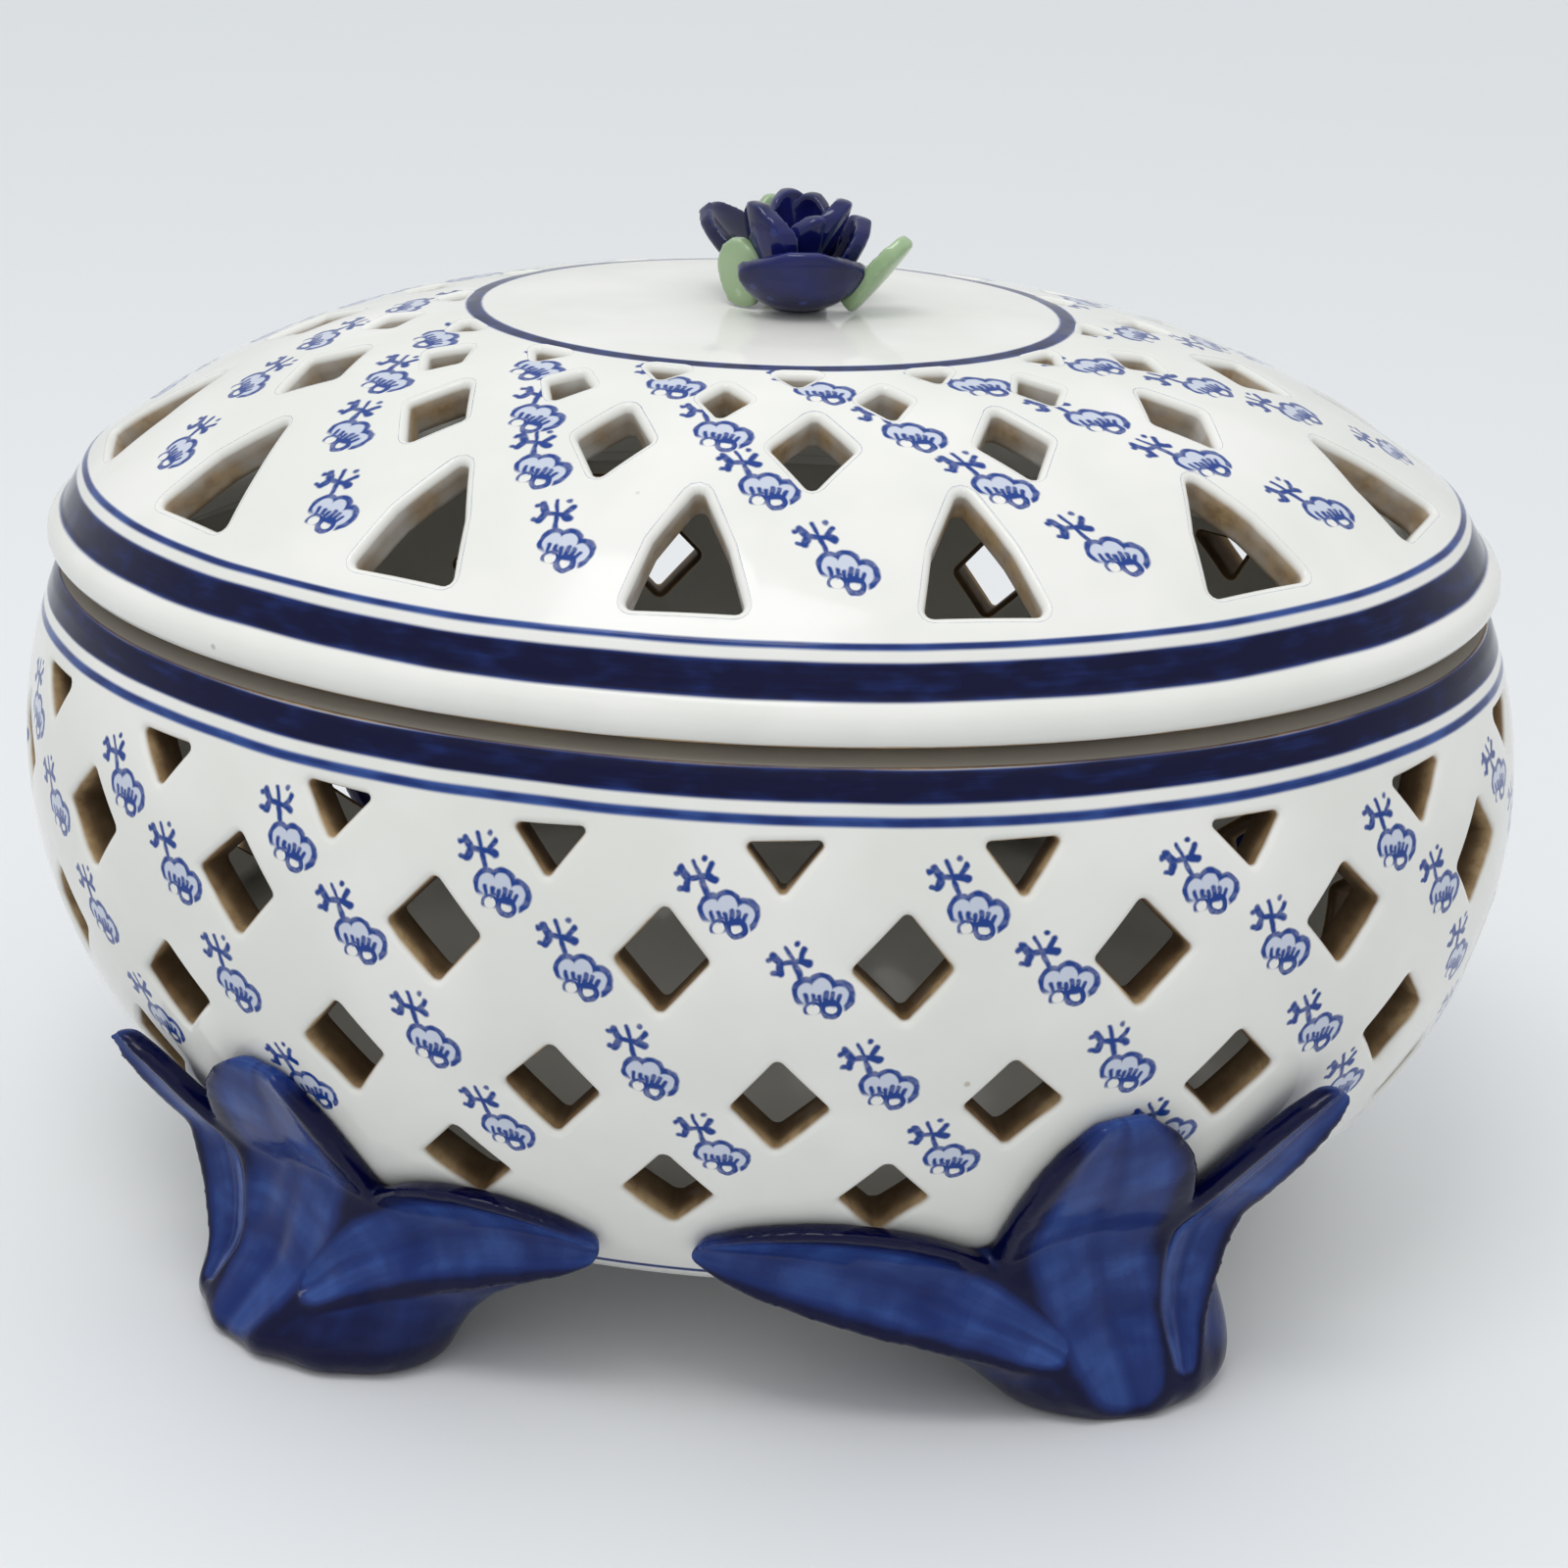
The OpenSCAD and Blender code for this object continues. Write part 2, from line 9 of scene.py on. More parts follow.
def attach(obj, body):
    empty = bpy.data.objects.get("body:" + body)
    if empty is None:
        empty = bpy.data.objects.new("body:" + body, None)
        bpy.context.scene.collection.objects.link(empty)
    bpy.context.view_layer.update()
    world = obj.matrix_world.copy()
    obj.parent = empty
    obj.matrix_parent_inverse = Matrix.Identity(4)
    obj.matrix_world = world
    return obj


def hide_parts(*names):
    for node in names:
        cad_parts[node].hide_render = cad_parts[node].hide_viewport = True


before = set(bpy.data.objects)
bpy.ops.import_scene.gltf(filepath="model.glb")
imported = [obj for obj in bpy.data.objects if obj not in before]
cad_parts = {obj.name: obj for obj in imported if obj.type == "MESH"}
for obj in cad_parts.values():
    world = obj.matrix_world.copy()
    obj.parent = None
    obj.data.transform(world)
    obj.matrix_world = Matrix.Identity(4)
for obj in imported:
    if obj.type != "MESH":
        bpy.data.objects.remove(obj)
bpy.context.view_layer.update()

# Bowl: an oval slip-cast porcelain body with a closed floor. Its side is pierced by hand with rows of
# diamonds while the clay is leather hard, so the glaze rounds their edges and leaves their walls bare.
# The sizes are in millimetres and follow the solids of the frame.
MM = 0.001
BELLY_A, BELLY_B, BELLY_Z = 101.9, 77.5, 64.5
OVAL = BELLY_B / BELLY_A
SIDE_R = 64.0
SIDE_A0 = BELLY_A - SIDE_R
RIM_Z, SEAT_Z, BASE_Z, FLOOR_Z = 91.0, 93.4, 15.5, 21.5
BOWL_WALL = 5.5
MOUTH_INSET = 6.8    # a ledge of 2.8 and a seat of 4.0 lie between the rim and the mouth
SPREAD = degrees((1 - OVAL ** 2) / (4 * (1 + OVAL ** 2)))
OVAL_GIRTH = 2 * pi * sqrt((1 + OVAL ** 2) / 2) / 360


def around(share):
    """Angle from the front middle at which an even share of the oval, in degrees, is passed."""
    return np.radians(share - SPREAD * np.sin(np.radians(2 * share)))


def side_arc(z):
    return SIDE_R * asin((z - BELLY_Z) / SIDE_R)


def side_a(z):
    return SIDE_A0 + sqrt(SIDE_R ** 2 - (z - BELLY_Z) ** 2)


def side_point(share, arc, depth=0.0):
    """Point at a share round the bowl and an arc above the belly, sunk by a depth into the wall."""
    share, arc, depth = np.broadcast_arrays(np.asarray(share, float), arc, depth)
    t, lean = around(share), arc / SIDE_R
    a = SIDE_A0 + SIDE_R * np.cos(lean)
    point = np.stack([a * np.sin(t), -OVAL * a * np.cos(t), BELLY_Z + SIDE_R * np.sin(lean)], -1)
    out = np.stack([np.sin(t), -np.cos(t) / OVAL, np.tan(lean)], -1)
    return point - depth[..., None] * out / np.linalg.norm(out, axis=-1, keepdims=True)


HOLE_ARC, HOLE_SIDE = 5, 4    # points on each rounded corner and on each side of a hole


def hole_loop(corners, corner_r, grow):
    """Rounded outline of a pierced hole, counter-clockwise, grown outwards by a distance."""
    c = np.array(corners, float)
    ahead = np.roll(c, -1, 0) - c
    ahead /= np.linalg.norm(ahead, axis=1, keepdims=True)
    leave = np.stack([ahead[:, 1], -ahead[:, 0]], 1)
    enter = np.roll(leave, 1, 0)
    centre = c - corner_r * (leave + enter) / (1 + (leave * enter).sum(1))[:, None]
    points = []
    for i in range(len(c)):
        start = atan2(enter[i][1], enter[i][0])
        turn = (atan2(leave[i][1], leave[i][0]) - start) % (2 * pi)
        for k in range(HOLE_ARC):
            angle = start + turn * k / (HOLE_ARC - 1)
            points.append(centre[i] + (corner_r + grow) * np.array([cos(angle), sin(angle)]))
        here = centre[i] + (corner_r + grow) * leave[i]
        there = centre[(i + 1) % len(c)] + (corner_r + grow) * leave[i]
        points += [here + (there - here) * k / (HOLE_SIDE + 1) for k in range(1, HOLE_SIDE + 1)]
    return np.array(points)


class Shell:
    """Collects the points and faces of a pierced wall, with its wrap coordinates and its bare clay and
    painted shade.
    """

    def __init__(self):
        self.points, self.wrap, self.bare, self.faces = [], [], [], []

    def add(self, points, wrap, bare=0.0):
        start = len(self.points)
        self.points += [tuple(p) for p in points]
        self.wrap += [tuple(w) for w in wrap]
        self.bare += list(np.broadcast_to(bare, len(points)))
        return list(range(start, start + len(points)))

    def bridge(self, low, high, closed=False):
        """Quads between two rows of points, with their outside to the left seen from low to high."""
        n = len(low)
        for i in range(n if closed else n - 1):
            j = (i + 1) % n
            self.faces.append((low[i], low[j], high[j], high[i]))

    def loft(self, rows, closed=False):
        for low, high in zip(rows, rows[1:]):
            self.bridge(low, high, closed)

    def ring(self, shares, a, b, z, arc, bare=0.0):
        """A level oval of points, with the wrap height at which it is painted."""
        t = around(shares)
        points = np.stack([a * np.sin(t), -b * np.cos(t), np.full(len(t), z)], 1)
        return self.add(points, np.stack([shares, np.full(len(t), arc)], 1), bare)

    def pierce(self, faces, outer, inner, start, holes, loops, rings, place):
        """Faces of both skins, and each hole's wall in rows of growth, depth, and bareness with painted
        shade.
        """
        for face in faces:
            self.faces.append(tuple(outer[i] for i in face))
            self.faces.append(tuple(inner[i] for i in reversed(face)))
        for hole, loop in zip(holes, loops):
            end = start + len(loop)
            rows = [outer[start:end]]
            for grow, depth, bare in rings:
                rows.append(self.add(*place(hole, grow, depth), bare))
            rows.append(inner[start:end])
            self.loft(rows[::-1], closed=True)
            start = end

    def mesh(self, name):
        mesh = bpy.data.meshes.new(name)
        mesh.from_pydata([Vector(p) * MM for p in self.points], [], self.faces)
        layer = mesh.uv_layers.new(name="wrap")
        corners = []
        for face in self.faces:
            wrap = np.array([self.wrap[i] for i in face])
            if np.ptp(wrap[:, 0]) > 180:
                wrap[wrap[:, 0] < wrap[:, 0].max() - 180, 0] += 360
            corners.append(wrap)
        layer.data.foreach_set("uv", np.concatenate(corners).astype(np.float32).ravel())
        bare = mesh.attributes.new("bare", "FLOAT", "POINT")
        bare.data.foreach_set("value", np.array(self.bare, np.float32))
        weld = bmesh.new()
        weld.from_mesh(mesh)
        bmesh.ops.remove_doubles(weld, verts=weld.verts, dist=2e-6)
        bmesh.ops.recalc_face_normals(weld, faces=weld.faces)
        weld.to_mesh(mesh)
        weld.free()
        mesh.shade_smooth()
        return mesh


def pierced_sheet(border, fill, holes):
    """Triangles over a flat domain with holes: returns its points and its faces, holes left open."""
    points = [tuple(p) for p in border]
    edges = [(i, (i + 1) % len(border)) for i in range(len(border))]
    owner = [-1] * len(points)
    for k, loop in enumerate(holes):
        start = len(points)
        points += [tuple(p) for p in loop]
        edges += [(start + i, start + (i + 1) % len(loop)) for i in range(len(loop))]
        owner += [k] * len(loop)
    points += [tuple(p) for p in fill]
    owner += [-1] * len(fill)
    _, _, faces, source, _, _ = delaunay_2d_cdt([Vector(p) for p in points], edges, [], 0, 1e-5)
    first = [s[0] for s in source]
    kept = []
    for face in faces:
        ids = [first[i] for i in face]
        kinds = {owner[i] for i in ids}
        if not (len(kinds) == 1 and -1 not in kinds):
            kept.append(ids)
    return np.array(points), kept


EDGE_R, EDGE_STEPS = 1.1, 5    # radius and rows of the glaze on a hole's edges
INSIDE = -300.0    # wrap height that marks the inside, where no cobalt is painted and the glaze is greyed as painted shade
WIPED_AND_SHADED = 2    # bareness of the seat under the lid, wiped free of glaze and painted grey as shade
KNIFE_SLIP = 0.38    # how far a hand-cut corner strays


def diamond(w, h):
    return [(w, 0), (0, h), (-w, 0), (0, -h)]


def drop(w, h):
    return [(w, 0), (-w, 0), (0, -h)]


BOWL_COLUMNS = 20
BOWL_STEP = 360 / BOWL_COLUMNS
BOWL_ROWS = [  # height, shift in columns, outline, corner radius
    (83.1, 0.5, drop(4.9, 6.6), 0.5),
    (68.3, 0.0, diamond(6.0, 6.9), 0.7),
    (49.3, 0.5, diamond(6.0, 6.9), 0.7),
    (34.6, 0.0, diamond(5.5, 6.9), 0.7)]
SIDE_LOW, SIDE_HIGH = side_arc(25.5), side_arc(87.6)    # part of the side that is pierced
SEAM = 180 + BOWL_STEP / 4    # share at the back where the side's grid is closed, between holes
PER_STEP, LEVELS = 10, 26    # points of the side's grid in a column step, and up the side
bowl_scale = BELLY_A * OVAL_GIRTH
columns = SEAM + np.arange(BOWL_COLUMNS * PER_STEP + 1) * BOWL_STEP / PER_STEP
levels = np.linspace(SIDE_LOW, SIDE_HIGH, LEVELS)
knife = np.random.default_rng(7)


def hand_cut(outline):
    """A hole's outline with its corners a little off, as a knife leaves them in soft clay."""
    return np.array(outline, float) + knife.uniform(-KNIFE_SLIP, KNIFE_SLIP, (len(outline), 2))


bowl_holes = []
for height, shift, outline, corner_r in BOWL_ROWS:
    for i in range(BOWL_COLUMNS):
        share = (i + shift) * BOWL_STEP
        if share < SEAM:
            share += 360
        scale = side_a(height) * OVAL_GIRTH
        bowl_holes.append((share, side_arc(height), hand_cut(outline), corner_r, scale))


def bowl_hole(hole, grow):
    share, arc, outline, corner_r, scale = hole
    loop = hole_loop(outline, corner_r, grow)
    return share + loop[:, 0] / scale, arc + loop[:, 1]


def hole_rings(wall, bare_lip, bare_gain, middle, bare_inside):
    """Rows of a hole's wall as growth, depth and bareness, which past about 1 is painted shade: rounded outer
    edge, middle, rounded inner edge.
    """
    edge = [(EDGE_R * (1 - sin(q * pi / 2)), EDGE_R * (1 - cos(q * pi / 2)), bare_lip + bare_gain * q ** 2)
            for q in np.linspace(0, 1, EDGE_STEPS)[1:]]
    return (edge + [(0.0, wall * share, bare) for share, bare in middle]
            + [(grow, wall - depth, bare_inside) for grow, depth, _ in reversed(edge)])


def clear_of(points, loops, gap):
    """Drops the points that lie in a loop or near it."""
    keep = np.ones(len(points), bool)
    for loop in loops:
        middle = loop.mean(0)
        reach = np.linalg.norm(loop - middle, axis=1).max() + gap
        ahead = np.roll(loop, -1, 0) - loop
        for i in np.where(np.linalg.norm(points - middle, axis=1) < reach)[0]:
            away = points[i] - loop
            side = ahead[:, 0] * away[:, 1] - ahead[:, 1] * away[:, 0]
            if (side / np.linalg.norm(ahead, axis=1)).min() > -gap:
                keep[i] = False
    return points[keep]


def make_bowl():
    shell = Shell()
    loops = [np.stack(bowl_hole(hole, EDGE_R), 1) * (bowl_scale, 1) for hole in bowl_holes]
    border = np.concatenate([
        [(s * bowl_scale, SIDE_LOW) for s in columns[:-1]],
        [(columns[-1] * bowl_scale, v) for v in levels[:-1]],
        [(s * bowl_scale, SIDE_HIGH) for s in columns[:0:-1]],
        [(columns[0] * bowl_scale, v) for v in levels[:0:-1]]])
    grid = np.array([(s * bowl_scale, v) for s in columns[1:-1] for v in levels[1:-1]])
    flat, faces = pierced_sheet(border, clear_of(grid, loops, 1.2), loops)
    share, arc = flat[:, 0] / bowl_scale, flat[:, 1]
    outer = shell.add(side_point(share, arc), np.stack([share, arc], 1))
    inner = shell.add(side_point(share, arc, BOWL_WALL), np.stack([share, 0 * arc + INSIDE], 1))

    def wall_row(hole, grow, depth):
        share, arc = bowl_hole(hole, grow)
        return side_point(share, arc, depth), np.stack([share, arc], 1)

    # The bowl's hole walls get bareness up to 1.5, so they are painted darker deeper in, as shade
    shell.pierce(faces, outer, inner, len(border), bowl_holes, loops,
                 hole_rings(BOWL_WALL, 0.15, 0.85, [(0.4, 1.3), (0.65, 1.5)], 1.5), wall_row)

    def arc_ring(arc, depth=0.0):
        wrap = np.full(len(columns), INSIDE if depth else arc)
        return shell.add(side_point(columns, arc, depth), np.stack([columns, wrap], 1))

    # Rim: rounded corner, sloping ledge, flat seat and straight mouth, as inset, height, wrap, bareness; the
    # ledge and seat are unglazed and painted grey as shade under the lid's roll
    rim_a, rim_b, rim_arc = side_a(RIM_Z), side_a(RIM_Z) * OVAL, side_arc(RIM_Z)
    rows = [arc_ring(v) for v in np.linspace(SIDE_HIGH, rim_arc - 0.7, 4)]
    for inset, z, arc, bare in [
            (0.05, RIM_Z - 0.25, -0.2, 0), (0.25, RIM_Z + 0.12, 0.3, 0), (0.6, 91.45, 0.8, WIPED_AND_SHADED),
            (1.6, 92.35, 2.2, WIPED_AND_SHADED), (2.5, 93.1, 3.4, WIPED_AND_SHADED), (2.95, 93.33, 3.9, WIPED_AND_SHADED),
            (3.3, SEAT_Z, 4.3, WIPED_AND_SHADED), (5.0, SEAT_Z, 6.0, WIPED_AND_SHADED), (6.2, SEAT_Z, 7.2, WIPED_AND_SHADED),
            (6.6, 93.25, 7.6, 0.4), (MOUTH_INSET, 92.8, 8.0, 0.2), (MOUTH_INSET, 89.0, 11.8, 0),
            (MOUTH_INSET, 85.9, 14.9, 0), (6.3, 85.45, 15.6, 0), (5.6, 85.42, 16.3, 0)]:
        rows.append(shell.ring(columns, rim_a - inset, rim_b - inset, z, rim_arc + arc, bare))
    shell.loft(rows + [arc_ring(SIDE_HIGH, BOWL_WALL)])
    # Bottom edge and underside, as scale, height and wrap
    base_a, base_arc = side_a(BASE_Z), side_arc(BASE_Z)
    rows = [arc_ring(v) for v in np.linspace(SIDE_LOW, base_arc + 1.6, 6)]
    for scale, z, arc in [(0.992, 15.75, -0.2), (0.98, BASE_Z, -1.4), (0.9, BASE_Z, -8), (0.885, 15.7, -9),
                          (0.875, 16.4, -10), (0.85, 16.6, -12), (0.45, 16.6, -44), (0.02, 16.6, -78)]:
        rows.append(shell.ring(columns, base_a * scale, base_a * OVAL * scale, z, base_arc + arc))
    shell.loft(rows[::-1])
    shell.faces.append(tuple(rows[-1][:-1]))
    # Floor inside, as scale and height
    rows = [arc_ring(v, BOWL_WALL) for v in np.linspace(SIDE_LOW, side_arc(27.5) - 2.0, 3)]
    inside_a = side_a(26.0) - 7.5
    for scale, z in [(1.0, 22.6), (0.93, 21.7), (0.85, FLOOR_Z), (0.45, FLOOR_Z), (0.02, FLOOR_Z)]:
        rows.append(shell.ring(columns, inside_a * scale, inside_a * OVAL * scale, z, INSIDE))
    shell.loft(rows)
    shell.faces.append(tuple(reversed(rows[-1][:-1])))
    return shell.mesh("bowl_body")


def tone(red, green, blue):
    """A paint or clay colour as seen, 0 to 255, turned into light."""
    light = [((c / 255 + 0.055) / 1.055) ** 2.4 if c > 10 else c / 3295 for c in (red, green, blue)]
    return (*light, 1.0)


class Recipe:
    """Short calls that add nodes to a material or to a node group."""

    def __init__(self, tree):
        self.tree = tree

    def feed(self, socket, value):
        if isinstance(value, bpy.types.NodeSocket):
            self.tree.links.new(value, socket)
        elif value is not None:
            socket.default_value = value

    def node(self, kind, settings=None, **inputs):
        made = self.tree.nodes.new("ShaderNode" + kind)
        for key, value in (settings or {}).items():
            setattr(made, key, value)
        for key, value in inputs.items():
            self.feed(made.inputs[key.replace("_", " ")], value)
        return made

    def math(self, operation, *values, clamp=False):
        made = self.node("Math", {"operation": operation, "use_clamp": clamp})
        for socket, value in zip(made.inputs, values):
            self.feed(socket, value)
        return made.outputs[0]

    def vector(self, operation, *values, out="Vector"):
        made = self.node("VectorMath", {"operation": operation})
        for socket, value in zip(made.inputs, values):
            self.feed(socket, value)
        return made.outputs[out]

    def scale(self, vector, amount):
        made = self.node("VectorMath", {"operation": "SCALE"}, Vector=vector, Scale=amount)
        return made.outputs["Vector"]

    def step(self, value, low, high, start=0.0, end=1.0):
        made = self.node("MapRange", {"interpolation_type": "SMOOTHSTEP"})
        for socket, given in zip(made.inputs, (value, low, high, start, end)):
            self.feed(socket, given)
        return made.outputs["Result"]

    def mix(self, share, first, second):
        made = self.node("Mix", {"data_type": "RGBA"})
        for index, given in ((0, share), (6, first), (7, second)):
            self.feed(made.inputs[index], given)
        return made.outputs[2]

    def noise(self, vector, scale, detail=2.0, rough=0.5):
        return self.node("TexNoise", None, Vector=vector, Scale=scale, Detail=detail, Roughness=rough)

    def pair(self, x, y):
        return self.node("CombineXYZ", None, X=x, Y=y).outputs[0]

    def highest(self, values):
        top = values[0]
        for value in values[1:]:
            top = self.math("MAXIMUM", top, value)
        return top

    def effect(self, group, **inputs):
        made = self.tree.nodes.new("ShaderNodeGroup")
        made.node_tree = group
        for key, value in inputs.items():
            self.feed(made.inputs[key.replace("_", " ")], value)
        return made.outputs


def effect_group(name, inputs, outputs):
    """A new node group with named sockets: its recipe, its inputs and the sockets of its output."""
    tree = bpy.data.node_groups.new(name, "ShaderNodeTree")
    for socket, kind in inputs.items():
        tree.interface.new_socket(socket, in_out="INPUT", socket_type="NodeSocket" + kind)
    for socket, kind in outputs.items():
        tree.interface.new_socket(socket, in_out="OUTPUT", socket_type="NodeSocket" + kind)
    return Recipe(tree), tree.nodes.new("NodeGroupInput").outputs, tree.nodes.new("NodeGroupOutput").inputs


def new_material(name):
    made = bpy.data.materials.new(name)
    made.use_nodes = True
    return made, Recipe(made.node_tree), made.node_tree.nodes["Principled BSDF"].inputs


# One brush stroke: ink along a line between two points, with the soft edge of paint under glaze
mk, given, put = effect_group(
    "brush_stroke", {"Point": "Vector", "From": "Vector", "To": "Vector", "Half Width": "Float"},
    {"Ink": "Float"})
reach = mk.vector("SUBTRACT", given["To"], given["From"])
offset = mk.vector("SUBTRACT", given["Point"], given["From"])
share = mk.math("DIVIDE", mk.vector("DOT_PRODUCT", offset, reach, out="Value"),
                mk.vector("DOT_PRODUCT", reach, reach, out="Value"), clamp=True)
gap = mk.vector("LENGTH", mk.vector("SUBTRACT", offset, mk.scale(reach, share)), out="Value")
mk.feed(put["Ink"], mk.step(mk.math("SUBTRACT", gap, given["Half Width"]), 0.0, 0.42, 1.0, 0.0))
brush_stroke = mk.tree

# One sprig: a flower head of three lobes over two ringed eyes with lashes, on a stem with a budding twig.
# Its sizes are in millimetres from its middle, before it is painted smaller by SPRIG_SCALE.
SPRIG_SCALE = 1.25
LOBES = [  # middle, half size
    ((-2.4, 1.0), (1.75, 2.1)), ((-0.1, 1.4), (1.9, 2.15)), ((2.3, 0.0), (1.95, 2.1))]
EYES = [  # middle, half size, half width of the line, height below which it is left open
    ((0.9, -2.0), (1.25, 1.2), 0.26, -9.0), ((-1.75, -1.6), (1.2, 1.05), 0.12, -2.3)]
STROKES = [  # start, end, half width
    ((-2.5, -0.6), (-2.6, 0.75), 0.13), ((-1.5, -0.6), (-1.45, 0.6), 0.14),
    ((-0.4, -1.0), (-0.55, 0.35), 0.16), ((0.4, -0.9), (0.4, 0.75), 0.2),
    ((1.2, -0.8), (1.35, 0.55), 0.17), ((1.9, -1.2), (2.4, 0.0), 0.15),
    ((-0.3, -1.15), (1.9, -1.1), 0.26), ((-2.9, 3.0), (-3.65, 6.0), 0.24),
    ((-5.4, 6.0), (-2.4, 6.1), 0.28), ((-5.5, 6.1), (-6.5, 7.4), 0.42),
    ((-6.5, 7.2), (-7.3, 6.8), 0.2), ((-5.5, 6.0), (-5.85, 4.4), 0.4),
    ((-5.9, 4.4), (-6.8, 4.6), 0.24), ((-2.6, 6.2), (-1.8, 7.9), 0.25),
    ((-2.4, 6.1), (-1.6, 5.6), 0.46), ((-3.65, 6.1), (-4.6, 8.5), 0.13),
    ((-2.75, 8.8), (-2.7, 8.9), 0.22)]
mk, given, put = effect_group("flower_sprig", {"Point": "Vector"}, {"Ink": "Float", "Wash": "Float"})
point = given["Point"]


def sprig_line(start, end, half_w):
    return mk.effect(brush_stroke, Point=point, From=(*start, 0), To=(*end, 0), Half_Width=half_w)["Ink"]


def sprig_oval(centre, size):
    """Distance from an oval's middle, 1 on its edge."""
    away = mk.vector("DIVIDE", mk.vector("SUBTRACT", point, (*centre, 0)), (*size, 1))
    return mk.vector("LENGTH", away, out="Value")


def outlined(oval, half_w, soft):
    """Ink along an oval's edge."""
    return mk.step(mk.math("ABSOLUTE", mk.math("SUBTRACT", oval, 1.0)), half_w, half_w + soft, 1.0, 0.0)


spot = mk.node("SeparateXYZ", None, Vector=point).outputs
lobes = [sprig_oval(centre, size) for centre, size in LOBES]
head = mk.math("MINIMUM", mk.math("MINIMUM", lobes[0], lobes[1]), lobes[2])
above = mk.math("MAXIMUM", mk.step(spot["Y"], -1.0, -0.2), mk.step(spot["X"], 2.6, 3.2))
inks = [mk.math("MULTIPLY", above, outlined(head, 0.13, 0.19))]
for centre, size, half_w, low in EYES:
    eye = outlined(sprig_oval(centre, size), half_w, 0.22)
    inks.append(mk.math("MULTIPLY", eye, mk.step(spot["Y"], low - 0.3, low + 0.3)))
inks += [sprig_line(*line) for line in STROKES]
mk.feed(put["Ink"], mk.highest(inks))
mk.feed(put["Wash"], mk.step(head, 0.7, 1.25, 1.0, 0.0))
flower_sprig = mk.tree

# Rows of sprigs, two rows to a group: each sprig is painted a little askew
MIDDLE = (0.5, 0.5, 0.5)    # mean of a noise colour
mk, given, put = effect_group(
    "sprig_rows",
    {"Wrap": "Vector", "Pitch": "Float", "Split": "Float", "Upper Share": "Float", "Upper Height": "Float",
     "Lower Share": "Float", "Lower Height": "Float", "Width": "Float", "Height": "Float"},
    {"Ink": "Float", "Wash": "Float"})
wrap = mk.node("SeparateXYZ", None, Vector=given["Wrap"]).outputs
upper = mk.math("GREATER_THAN", wrap["Y"], given["Split"])


def by_row(name):
    high, low = given["Upper " + name], given["Lower " + name]
    return mk.math("MULTIPLY_ADD", upper, mk.math("SUBTRACT", high, low), low)


turns = mk.math("SUBTRACT", wrap["X"], by_row("Share"))
half_pitch = mk.math("MULTIPLY", given["Pitch"], 0.5)
column = mk.math("ROUND", mk.math("DIVIDE", turns, given["Pitch"]))
dice = mk.node("TexWhiteNoise", {"noise_dimensions": "2D"}, Vector=mk.pair(column, by_row("Height")))
chance = mk.vector("SUBTRACT", dice.outputs["Color"], MIDDLE)
sideways = mk.math("WRAP", turns, half_pitch, mk.math("MULTIPLY", half_pitch, -1.0))
climb = mk.math("SUBTRACT", wrap["Y"], by_row("Height"))
local = mk.pair(mk.math("MULTIPLY", sideways, given["Width"]), mk.math("MULTIPLY", climb, given["Height"]))
wobble = mk.vector("SUBTRACT", mk.noise(local, 0.5, 1.0).outputs["Color"], MIDDLE)
local = mk.vector("ADD", local, mk.vector("MULTIPLY", wobble, (0.7, 0.7, 0)))
local = mk.vector("ADD", local, mk.vector("MULTIPLY", chance, (1.2, 1.0, 0)))
tilt = mk.math("MULTIPLY", mk.node("SeparateXYZ", None, Vector=chance).outputs["Z"], 0.3)
askew = mk.node("VectorRotate", {"rotation_type": "Z_AXIS"}, Vector=local, Angle=tilt)
marks = mk.effect(flower_sprig, Point=mk.scale(askew.outputs[0], SPRIG_SCALE))
pressure = mk.step(mk.noise(local, 0.6, 2.0).outputs["Fac"], 0.3, 0.55, 0.8, 1.0)
mk.feed(put["Ink"], mk.math("MULTIPLY", marks["Ink"], pressure))
mk.feed(put["Wash"], marks["Wash"])
sprig_rows = mk.tree

# Glaze over white clay: faint warm and grey clouds, specks, a ripple, and bare clay where it drew back.
# Painted shade darkens the deep hole walls and greys the seat under the lid and the bowl's inside
GLAZE_GREY, GLAZE_WHITE, GLAZE_INSIDE_SHADE = tone(224, 224, 218), tone(233, 232, 227), tone(200, 197, 189)
SPECK = tone(150, 130, 105)
CLAY_DARK, CLAY_PALE, CLAY_GRAIN = tone(118, 92, 62), tone(176, 150, 112), tone(92, 68, 42)
# Painted shade tones: dark brown deep in the hole walls, grey on the seat under the lid
CLAY_SHADED, CLAY_WIPED_AND_SHADED = tone(62, 46, 30), tone(124, 119, 109)
mk, given, put = effect_group("glaze", {"Place": "Vector", "Bare": "Float", "Inside": "Float"},
                              {"Color": "Color", "Roughness": "Float", "Ripple": "Float", "Clay": "Float"})
cloud = mk.noise(given["Place"], 38.0, 3.0).outputs["Fac"]
body = mk.mix(mk.step(cloud, 0.35, 0.68), GLAZE_GREY, GLAZE_WHITE)
speck = mk.node("TexVoronoi", None, Vector=given["Place"], Scale=140.0).outputs
rare = mk.math("GREATER_THAN", mk.node("SeparateXYZ", None, Vector=speck["Color"]).outputs["X"], 0.93)
speck_mask = mk.math("MULTIPLY", rare, mk.step(speck["Distance"], 0.03, 0.075, 0.5, 0.0))
body = mk.mix(speck_mask, body, SPECK)
